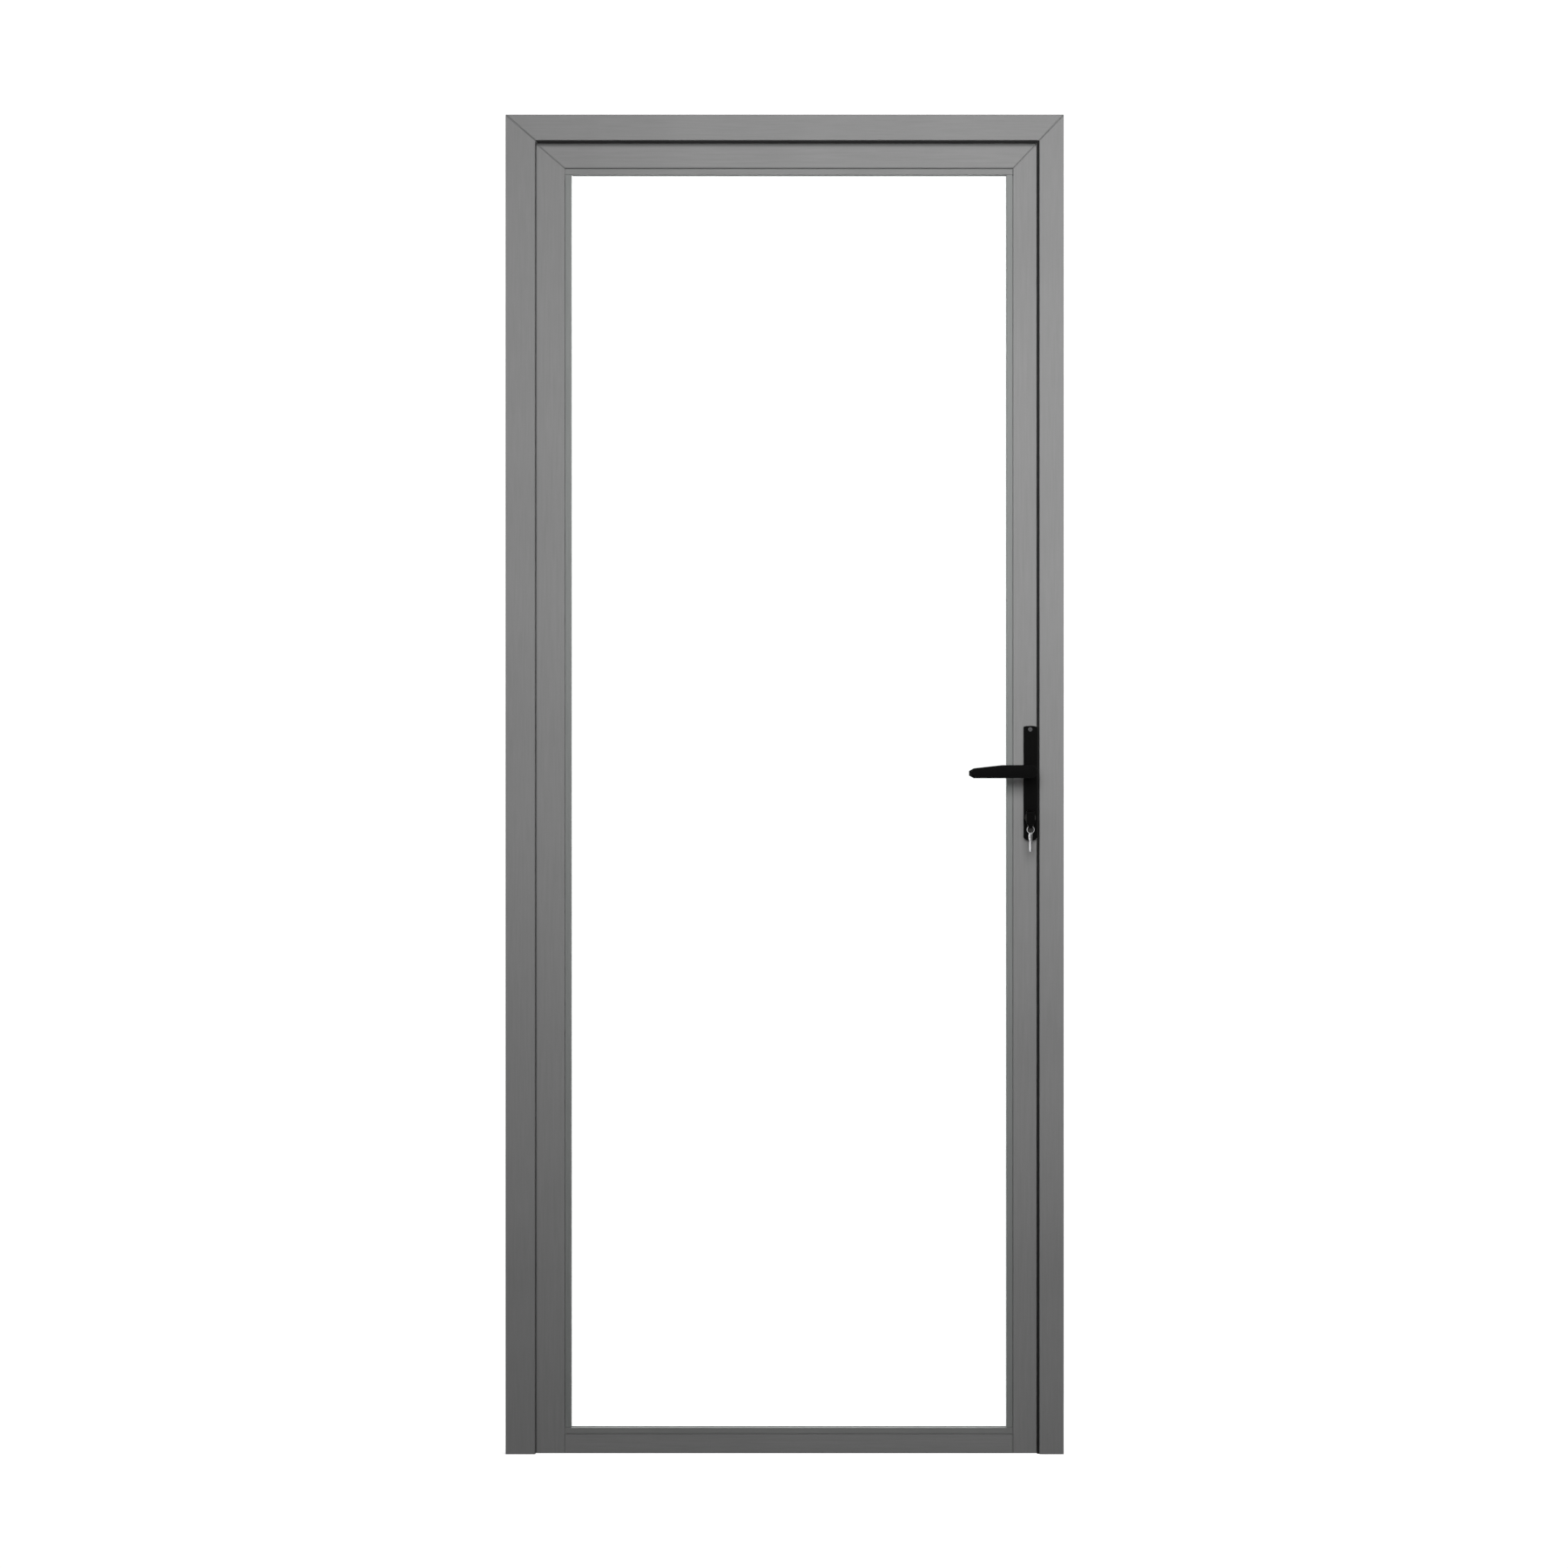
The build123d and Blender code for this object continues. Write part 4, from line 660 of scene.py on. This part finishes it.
def make_screw_tree():
    """A screw with a cross recess: head, recess, core and thread. Its top is at the origin."""
    sizes = ("Head Radius", "Neck Radius", "Head Height", "Shank Radius", "Length", "Pitch")
    tree, given, result = new_making_tree("cross_head_screws", sizes)
    head_foot = reckon(tree, "MULTIPLY", given["Head Height"], -1.0)
    head = cone(tree, given["Head Radius"], given["Neck Radius"], given["Head Height"], head_foot)
    arm = reckon(tree, "MULTIPLY", given["Head Radius"], 1.1)
    slot_width = reckon(tree, "MULTIPLY", given["Head Radius"], 0.24)
    slot_depth = reckon(tree, "MULTIPLY", given["Head Height"], 1.2)
    slots = []
    for across, tall in ((arm, slot_width), (slot_width, arm)):
        size = step(tree, "ShaderNodeCombineXYZ", {"X": across, "Y": tall, "Z": slot_depth})
        slots.append(
            step(tree, "GeometryNodeMeshCube", {"Size": size.outputs["Vector"]}).outputs["Mesh"]
        )
    cut = step(tree, "GeometryNodeMeshBoolean", operation="DIFFERENCE", solver="EXACT")
    tree.links.new(head, cut.inputs["Mesh 1"])
    for recess in slots:
        tree.links.new(recess, cut.inputs["Mesh 2"])
    shank = reckon(tree, "SUBTRACT", given["Length"], given["Head Height"])
    foot = reckon(tree, "MULTIPLY", given["Length"], -1.0)
    core, thread = roll_thread(tree, given["Shank Radius"], given["Pitch"], shank, foot)
    set_pieces(tree, given, result, join(tree, cut.outputs["Mesh"], core, thread), pi / 2)
    return tree


zinc_steel = finish(
    "zinc_steel",
    (0.3, 0.3, 0.31),
    (0.46, 0.46, 0.47),
    0.24,
    0.42,
    specks=260.0,
    clouds=60.0,
    relief=0.15,
    metallic=1.0,
)
screw_tree = make_screw_tree()
give(zinc_steel, "strike_plate")


def make_screws(
    name, node, body, facing, head_radius, shank_radius, length, pitch, metal=zinc_steel
):
    """A set of countersunk screws, sized in millimetres. The cone of the head is at 45 degrees."""
    return make_pieces(
        name,
        screw_tree,
        tops_of(node, facing),
        {
            "Head Radius": head_radius * millimetre,
            "Neck Radius": shank_radius * millimetre,
            "Head Height": (head_radius - shank_radius) * millimetre,
            "Shank Radius": shank_radius * millimetre,
            "Length": length * millimetre,
            "Pitch": pitch * millimetre,
            "Finish": metal,
        },
        node,
        body,
    )


make_screws(
    "strike_cross_screws",
    "strike_screws",
    "frame",
    lambda middle: (-1, 0, 0),
    head_radius=4.4,
    shank_radius=2.4,
    length=14.0,
    pitch=1.5,
)


# Leaf members
# Two stiles and a top rail, mitred at the top corners, and a narrower bottom rail that butts
# between the stiles. They are coated like the frame.

give(upright_coating, "hinge_stile", "lock_stile")
give(level_coating, "top_rail", "bottom_rail")


# Bottom-rail screws
# Four long self-tapping screws with flat round heads, driven through the stiles into the ports of
# the bottom rail.

make_pieces(
    "rail_cross_screws",
    screw_tree,
    tops_of("bottom_rail_screws", lambda middle: (-1, 0, 0) if middle.x < 0 else (1, 0, 0)),
    {
        "Head Radius": 4.3 * millimetre,
        "Neck Radius": 4.5 * millimetre,
        "Head Height": 3.0 * millimetre,
        "Shank Radius": 2.5 * millimetre,
        "Length": 35.0 * millimetre,
        "Pitch": 1.8 * millimetre,
        "Finish": zinc_steel,
    },
    "bottom_rail_screws",
    "leaf",
)


# Glass and setting blocks
# One sheet of clear toughened glass with ground edges, which stands on plastic blocks and is kept
# off the rebate by others. The furnace leaves faint waves in it.

def make_clear_glass():
    """Clear glass that lets light through to what is behind it."""
    material = bpy.data.materials.new("toughened_glass")
    material.use_nodes = True
    tree = material.node_tree
    shader = tree.nodes["Principled BSDF"]
    shader.inputs["Transmission Weight"].default_value = 1.0
    shader.inputs["IOR"].default_value = 1.5
    place = step(tree, "ShaderNodeTexCoord").outputs["Object"]
    long_waves = step(tree, "ShaderNodeMapping", {"Vector": place, "Scale": (0.6, 1, 5)})
    waves = step(
        tree, "ShaderNodeTexNoise", {"Vector": long_waves.outputs["Vector"], "Scale": 3.0}
    ).outputs["Fac"]
    relief = step(
        tree,
        "ShaderNodeBump",
        {"Height": waves, "Strength": 0.05, "Distance": 0.5 * millimetre},
    ).outputs["Normal"]
    tint = step(
        tree,
        "ShaderNodeMix",
        {0: waves, 6: (0.965, 0.99, 0.98, 1), 7: (0.985, 0.998, 0.992, 1)},
        data_type="RGBA",
    ).outputs[2]
    haze = step(
        tree, "ShaderNodeMapRange", {"Value": waves, "To Min": 0.0, "To Max": 0.015}
    ).outputs["Result"]
    tree.links.new(tint, shader.inputs["Base Color"])
    tree.links.new(haze, shader.inputs["Roughness"])
    tree.links.new(relief, shader.inputs["Normal"])
    shadow = step(tree, "ShaderNodeLightPath").outputs["Is Shadow Ray"]
    clear = step(tree, "ShaderNodeBsdfTransparent", {"Color": (0.93, 0.96, 0.95, 1)})
    mixed = step(
        tree,
        "ShaderNodeMixShader",
        {"Fac": shadow, 1: shader.outputs["BSDF"], 2: clear.outputs["BSDF"]},
    )
    tree.links.new(mixed.outputs["Shader"], tree.nodes["Material Output"].inputs["Surface"])
    return material


give(make_clear_glass(), "glass_pane")
give(black_plastic, "setting_blocks")


# Glazing beads and gaskets
# Hollow coated extrusions that snap into the rebate in front of the glass, and a rubber loop on
# each side of the glass. The side beads stand between the top and the bottom one.

upright_bead = finish(
    "upright_bead_coating",
    (0.2, 0.208, 0.204),
    (0.232, 0.24, 0.236),
    coating_smooth,
    coating_rough,
    specular=coating_gloss,
    specks=420.0,
    stretch=(1, 1, 0.04),
)
level_bead = finish(
    "level_bead_coating",
    (0.2, 0.203, 0.201),
    (0.23, 0.233, 0.231),
    coating_smooth,
    coating_rough,
    specular=coating_gloss,
    specks=420.0,
    stretch=(0.04, 1, 1),
)
# The beads are darkened only by the painted shade at their reveals.
for coating in (upright_bead, level_bead):
    paint_seams_and_shade(coating, bead_reveal_shade)
give(upright_bead, "glazing_bead_hinge_side", "glazing_bead_lock_side")
give(level_bead, "glazing_bead_top", "glazing_bead_bottom")
give(upright_rubber, "glazing_gasket_front", "glazing_gasket_back")


# Bottom seal
# A rubber strip with one lip, pushed up under the leaf, that wipes just above the floor.

give(level_rubber, "bottom_seal")


# Hinges
# Three butt hinges on the back: halves cut from extrusion and coated like the door, a steel pin in
# plastic bushes, and four countersunk screws in each half.

places = ("lower", "middle", "upper")
give(upright_coating, *[f"hinge_frame_half_{place}" for place in places])
give(upright_coating, *[f"hinge_leaf_half_{place}" for place in places])
give(zinc_steel, "hinge_pins")
give(black_plastic, "hinge_bushes")
for body in ("frame", "leaf"):
    make_screws(
        f"hinge_{body}_cross_screws",
        f"hinge_{body}_screws",
        body,
        lambda middle: (0, 1, 0),
        head_radius=4.4,
        shank_radius=2.1,
        length=14.0,
        pitch=1.4,
    )


# Lock
# A flat steel case in the lock stile, behind a faceplate held by two screws, with a sprung latch, a
# deadbolt and a follower that the spindle turns.

brushed_steel = finish(
    "brushed_steel",
    (0.42, 0.42, 0.43),
    (0.62, 0.62, 0.63),
    0.26,
    0.42,
    specks=900.0,
    stretch=(1, 1, 0.02),
    relief=0.25,
    metallic=1.0,
)
give(brushed_steel, "lock_faceplate", "latch_bolt", "deadbolt")
give(zinc_steel, "lock_case", "follower")
make_screws(
    "faceplate_cross_screws",
    "faceplate_screws",
    "leaf",
    lambda middle: (1, 0, 0),
    head_radius=4.4,
    shank_radius=2.4,
    length=14.0,
    pitch=1.5,
)
make_screws(
    "cylinder_cross_screw",
    "cylinder_screw",
    "leaf",
    lambda middle: (1, 0, 0),
    head_radius=4.4,
    shank_radius=2.4,
    length=30.0,
    pitch=1.0,
)


# Cylinder
# A brass body with a plug in each half that turns with the key, both plated in black nickel to go
# with the levers, and a sintered steel cam between them.

black_nickel = finish(
    "black_nickel",
    (0.025, 0.025, 0.025),
    (0.055, 0.054, 0.052),
    0.24,
    0.38,
    specks=500.0,
    clouds=80.0,
    relief=0.1,
    metallic=1.0,
)
give(black_nickel, "cylinder_body", "cylinder_plug")
give(zinc_steel, "cylinder_cam")


# Backplates
# Narrow die-cast covers on both faces of the lock stile, coated satin black, each held by two small
# countersunk screws of burnished steel.

black_coating = finish(
    "black_coating",
    (0.001, 0.001, 0.001),
    (0.0025, 0.0025, 0.0025),
    0.34,
    0.48,
    specks=1100.0,
    specular=0.04,
)
burnished_steel = finish(
    "burnished_steel",
    (0.06, 0.06, 0.062),
    (0.12, 0.12, 0.124),
    0.26,
    0.4,
    specks=300.0,
    clouds=70.0,
    relief=0.12,
    metallic=1.0,
)
give(black_coating, "outer_backplate", "inner_backplate")
make_screws(
    "backplate_cross_screws",
    "backplate_screws",
    "leaf",
    lambda middle: (0, -1, 0) if middle.y < 0 else (0, 1, 0),
    head_radius=3.4,
    shank_radius=2.0,
    length=19.0,
    pitch=0.8,
    metal=burnished_steel,
)


# Levers, spindle and grub screws
# Cast levers with facets that narrow to the tip, coated black like the plates. Each is pinned to
# the square steel spindle by a grub screw with a hexagon socket.

def soften(name, node, width, material, body):
    """A copy of a CAD node with its edges rounded, as a casting or a moulding has them."""
    mesh = nodes[node].data.copy()
    mesh.name = name
    work = bmesh.new()
    work.from_mesh(mesh)
    bmesh.ops.remove_doubles(work, verts=work.verts, dist=0.01 * millimetre)
    bmesh.ops.dissolve_limit(
        work, angle_limit=radians(0.5), verts=work.verts, edges=work.edges, delimit={"NORMAL"}
    )
    work.to_mesh(mesh)
    work.free()
    piece = bpy.data.objects.new(name, mesh)
    scene.collection.objects.link(piece)
    rounding = piece.modifiers.new("rounding", "BEVEL")
    rounding.width = width * millimetre
    rounding.segments = 2
    rounding.limit_method = "ANGLE"
    rounding.angle_limit = radians(24)
    rounded = bpy.data.meshes.new_from_object(
        piece.evaluated_get(bpy.context.evaluated_depsgraph_get())
    )
    piece.modifiers.remove(rounding)
    piece.data = rounded
    rounded.materials.clear()
    rounded.materials.append(material)
    smooth_but_crisp(rounded)
    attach(piece, body)
    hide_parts(node)
    return piece


def make_grub_tree():
    """A grub screw: a threaded core with a hexagon socket in its top."""
    tree, given, result = new_making_tree("grub_screws", ("Radius", "Length", "Socket", "Pitch"))
    foot = reckon(tree, "MULTIPLY", given["Length"], -1.0)
    core, thread = roll_thread(tree, given["Radius"], given["Pitch"], given["Length"], foot)
    socket_foot = reckon(tree, "MULTIPLY", given["Length"], -0.45)
    hexagon = cone(tree, given["Socket"], given["Socket"], given["Length"], socket_foot, 6)
    cut = step(tree, "GeometryNodeMeshBoolean", operation="DIFFERENCE", solver="EXACT")
    tree.links.new(core, cut.inputs["Mesh 1"])
    tree.links.new(hexagon, cut.inputs["Mesh 2"])
    set_pieces(tree, given, result, join(tree, cut.outputs["Mesh"], thread), pi / 3)
    return tree


for side in ("outer", "inner"):
    soften(f"{side}_cast_lever", f"{side}_lever", 0.4, black_coating, "lever")
give(zinc_steel, "spindle")
make_pieces(
    "socket_grub_screws",
    make_grub_tree(),
    tops_of("grub_screws", lambda middle: (0, 0, -1)),
    {
        "Radius": 2.5 * millimetre,
        "Length": 5.0 * millimetre,
        "Socket": 1.4 * millimetre,
        "Pitch": 0.8 * millimetre,
        "Finish": zinc_steel,
    },
    "grub_screws",
    "lever",
)


# Key, ring and spare key
# A flat nickel-silver blade in a moulded black head. A split ring of spring steel hangs in the eye
# of the head, and a plain spare key hangs in the ring.

nickel_silver = finish(
    "nickel_silver",
    (0.42, 0.4, 0.36),
    (0.56, 0.54, 0.5),
    0.18,
    0.3,
    specks=500.0,
    clouds=80.0,
    relief=0.1,
    metallic=1.0,
)
give(nickel_silver, "key_blade")
key_plastic = finish(
    "key_plastic",
    (0.0005, 0.0005, 0.0005),
    (0.0015, 0.0015, 0.0015),
    0.26,
    0.38,
    specks=1400.0,
    specular=0.04,
)
soften("moulded_key_head", "key_head", 0.6, key_plastic, "key")


def make_split_ring_tree():
    """A split ring: round wire wound nearly twice round."""
    tree, given, result = new_making_tree("split_ring", ("Radius", "Wire", "Turns"))
    pitch = reckon(tree, "MULTIPLY", given["Wire"], 1.02)
    rise = reckon(tree, "MULTIPLY", pitch, reckon(tree, "SUBTRACT", given["Turns"], 1.0))
    path = step(
        tree,
        "GeometryNodeCurveSpiral",
        {
            "Resolution": 48,
            "Rotations": given["Turns"],
            "Start Radius": given["Radius"],
            "End Radius": given["Radius"],
            "Height": rise,
        },
    ).outputs["Curve"]
    half = reckon(tree, "MULTIPLY", given["Wire"], 0.5)
    wire = step(
        tree, "GeometryNodeCurvePrimitiveCircle", {"Resolution": 10, "Radius": half}
    ).outputs["Curve"]
    coil = step(
        tree,
        "GeometryNodeCurveToMesh",
        {"Curve": path, "Profile Curve": wire, "Fill Caps": True},
    ).outputs["Mesh"]
    sink = reckon(tree, "MULTIPLY", rise, -0.5)
    set_pieces(tree, given, result, lift(tree, coil, sink))
    return tree


bright_steel = finish(
    "bright_steel",
    (0.42, 0.42, 0.43),
    (0.58, 0.58, 0.59),
    0.16,
    0.28,
    specks=500.0,
    clouds=90.0,
    relief=0.08,
    metallic=1.0,
)
ring_low, ring_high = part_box("key_ring")
ring_middle = (ring_low + ring_high) / 2
ring_wire = ring_high.y - ring_low.y
make_pieces(
    "split_key_ring",
    make_split_ring_tree(),
    [(ring_middle, Vector((0, -1, 0)))],
    {
        "Radius": (ring_high.x - ring_low.x) / 2 - ring_wire / 2,
        "Wire": ring_wire / 2,
        "Turns": 1.9,
        "Finish": bright_steel,
    },
    "key_ring",
    "key_ring",
)


def cut_from_sheet(name, outlines, thickness, edge, place):
    """A flat piece with softened edges: the first outline is its edge and the others are holes."""
    curve = bpy.data.curves.new(name, "CURVE")
    curve.dimensions = "2D"
    curve.fill_mode = "BOTH"
    curve.extrude = thickness / 2 - edge
    curve.bevel_depth = edge
    curve.bevel_resolution = 1
    curve.offset = -edge
    for outline in outlines:
        spline = curve.splines.new("POLY")
        spline.points.add(len(outline) - 1)
        for point, (across, up) in zip(spline.points, outline):
            point.co = (across, up, 0, 1)
        spline.use_cyclic_u = True
    drawn = bpy.data.objects.new(name, curve)
    scene.collection.objects.link(drawn)
    mesh = bpy.data.meshes.new_from_object(
        drawn.evaluated_get(bpy.context.evaluated_depsgraph_get())
    )
    bpy.data.objects.remove(drawn)
    work = bmesh.new()
    work.from_mesh(mesh)
    bmesh.ops.remove_doubles(work, verts=work.verts, dist=0.001 * millimetre)
    bmesh.ops.recalc_face_normals(work, faces=work.faces)
    work.transform(place)
    work.to_mesh(mesh)
    work.free()
    piece = bpy.data.objects.new(name, mesh)
    scene.collection.objects.link(piece)
    smooth_but_crisp(mesh)
    return piece


spare_low, spare_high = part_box("spare_key")
spare_length = spare_high.z - spare_low.z
spare_turn = radians(16)
bow_radius = 8.0 * millimetre
bow_up = -bow_radius
blade_half = 4.0 * millimetre
spare_thickness = 2.8 * millimetre
hole_radius = 2.6 * millimetre
hole_up = -4.4 * millimetre
tip_up = -spare_length
tip_slope = 2.6 * millimetre
cut_count = 3
cut_start = 0.4 * millimetre
cut_depth = 1.8 * millimetre
cut_half = 1.5 * millimetre
cut_spacing = 3.4 * millimetre
sheet_edge = 0.25 * millimetre


def arc(middle_up, radius, start, end, count):
    """Points of an arc about the middle line, from one angle to another."""
    turn = (end - start) / (count - 1)
    return [
        (radius * cos(start + turn * number), middle_up + radius * sin(start + turn * number))
        for number in range(count)
    ]


spare_outline = arc(bow_up, bow_radius, radians(-60), radians(240), 41)
spare_outline += [(-blade_half, tip_up + tip_slope), (-blade_half / 3, tip_up)]
spare_outline += [(blade_half / 3, tip_up), (blade_half, tip_up + tip_slope)]
for number in range(cut_count):
    cut_up = tip_up + tip_slope + cut_start + cut_half + number * cut_spacing
    spare_outline += [
        (blade_half, cut_up - cut_half),
        (blade_half - cut_depth, cut_up - cut_half / 4),
        (blade_half - cut_depth, cut_up + cut_half / 4),
        (blade_half, cut_up + cut_half),
    ]
spare_hole = arc(hole_up, hole_radius, 0, 2 * pi * 23 / 24, 24)
across = Vector((sin(spare_turn), cos(spare_turn), 0))
face = Vector((cos(spare_turn), -sin(spare_turn), 0))
spare_place = Matrix.Translation((ring_middle.x, ring_middle.y, spare_high.z)) @ Matrix(
    (
        (across.x, 0, face.x, 0),
        (across.y, 0, face.y, 0),
        (0, 1, 0, 0),
        (0, 0, 0, 1),
    )
)
spare_key = cut_from_sheet(
    "cut_spare_key",
    [spare_outline, spare_hole],
    spare_thickness,
    sheet_edge,
    spare_place,
)
spare_key.data.materials.append(bright_steel)
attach(spare_key, "key_ring")
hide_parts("spare_key")


# Studio
# A pale floor and a white surround, white to the camera, through glass and in metal only. The key
# lamp hangs level with the upper part of the door, so that the light falls off towards the floor.

scene.view_settings.view_transform = "Standard"

world = bpy.data.worlds.new("surround")
scene.world = world
world.use_nodes = True
sky = world.node_tree
ambient = sky.nodes["Background"]
ambient.inputs["Color"].default_value = (1, 1, 1, 1)
ambient.inputs["Strength"].default_value = 0.1
white = step(sky, "ShaderNodeBackground", {"Color": (1, 1, 1, 1), "Strength": 1.12})
rays = step(sky, "ShaderNodeLightPath").outputs
through_glass = reckon(sky, "MAXIMUM", rays["Is Camera Ray"], rays["Is Transmission Ray"])
in_view = reckon(sky, "MAXIMUM", through_glass, rays["Is Glossy Ray"])
choose = step(
    sky,
    "ShaderNodeMixShader",
    {"Fac": in_view, 1: ambient.outputs["Background"], 2: white.outputs["Background"]},
)
sky.links.new(choose.outputs["Shader"], sky.nodes["World Output"].inputs["Surface"])


def make_floor_finish():
    """White floor: the camera sees it lit up to white, apart from the door's soft shadow."""
    material = bpy.data.materials.new("studio_floor")
    material.use_nodes = True
    tree = material.node_tree
    shader = tree.nodes["Principled BSDF"]
    shader.inputs["Roughness"].default_value = 0.9
    shader.inputs["Specular IOR Level"].default_value = 0.0
    shader.inputs["Emission Color"].default_value = (1, 1, 1, 1)
    place = step(tree, "ShaderNodeTexCoord").outputs["Object"]
    away = step(tree, "ShaderNodeVectorMath", {0: place}, operation="LENGTH").outputs["Value"]
    near = step(
        tree,
        "ShaderNodeMapRange",
        {"Value": away, "From Min": 0.6, "From Max": 2.2, "To Min": 1.0, "To Max": 0.0},
        interpolation_type="SMOOTHSTEP",
    ).outputs["Result"]
    speckle = step(tree, "ShaderNodeTexNoise", {"Scale": 30.0}).outputs["Fac"]
    bounce = step(
        tree,
        "ShaderNodeMix",
        {0: speckle, 6: (0.07, 0.07, 0.07, 1), 7: (0.09, 0.09, 0.09, 1)},
        data_type="RGBA",
    ).outputs[2]
    shown = step(
        tree,
        "ShaderNodeMix",
        {0: near, 6: (0, 0, 0, 1), 7: (0.6, 0.6, 0.6, 1)},
        data_type="RGBA",
    ).outputs[2]
    ray = step(tree, "ShaderNodeLightPath").outputs
    clear_ray = reckon(tree, "MAXIMUM", ray["Is Camera Ray"], ray["Is Transmission Ray"])
    in_view = reckon(tree, "MAXIMUM", clear_ray, ray["Is Glossy Ray"])
    colour = step(
        tree, "ShaderNodeMix", {0: in_view, 6: bounce, 7: shown}, data_type="RGBA"
    ).outputs[2]
    glow = step(
        tree, "ShaderNodeMapRange", {"Value": near, "To Min": 1.05, "To Max": 0.86}
    ).outputs["Result"]
    tree.links.new(colour, shader.inputs["Base Color"])
    strength = reckon(tree, "MULTIPLY", in_view, glow)
    tree.links.new(strength, shader.inputs["Emission Strength"])
    return material


floor_mesh = bpy.data.meshes.new("studio_floor")
floor_half = 15.0
floor_mesh.from_pydata(
    [
        (-floor_half, -floor_half, 0),
        (floor_half, -floor_half, 0),
        (floor_half, floor_half, 0),
        (-floor_half, floor_half, 0),
    ],
    [],
    [(0, 1, 2, 3)],
)
floor = bpy.data.objects.new("studio_floor", floor_mesh)
scene.collection.objects.link(floor)
floor_mesh.materials.append(make_floor_finish())


def hang_lamp(name, place, aim, size, power, in_gloss=True):
    """A square soft lamp that faces a point and that the camera doesn't see."""
    light = bpy.data.lights.new(name, "AREA")
    light.size = size
    light.energy = power
    lamp = bpy.data.objects.new(name, light)
    scene.collection.objects.link(lamp)
    lamp.location = place
    lamp.rotation_euler = (Vector(aim) - Vector(place)).to_track_quat("-Z", "Y").to_euler()
    lamp.visible_camera = False
    lamp.visible_transmission = False
    lamp.visible_glossy = in_gloss


hang_lamp("key_lamp", (0.3, -1.75, 1.68), (0.3, 0, 1.68), 0.95, 34.5, in_gloss=False)
hang_lamp("top_lamp", (0.3, -1.1, 3.4), (0, 0, 1.6), 1.2, 4.5)
hang_lamp("fill_lamp", (-3.2, -3.4, 2.0), (0, 0, 1.0), 2.2, 6)
hang_lamp("back_lamp", (0.6, 3.0, 2.6), (0, 0, 1.2), 1.6, 36)


# Camera
# Level with the middle of the door and square to it, from far enough away for a flat view. The
# width of the picture is that of the photograph, measured at the front of the frame.

camera_distance = 18.0
picture_width = 2.4577
sensor_width = 36.0
camera_x = -0.001
camera_height = 1.0507
lens = bpy.data.cameras.new("camera")
lens.sensor_width = sensor_width
lens.lens = sensor_width * camera_distance / picture_width
camera = bpy.data.objects.new("camera", lens)
scene.collection.objects.link(camera)
camera.location = (camera_x, head_low.y - camera_distance, camera_height)
camera.rotation_euler = (radians(90), 0, 0)
scene.camera = camera
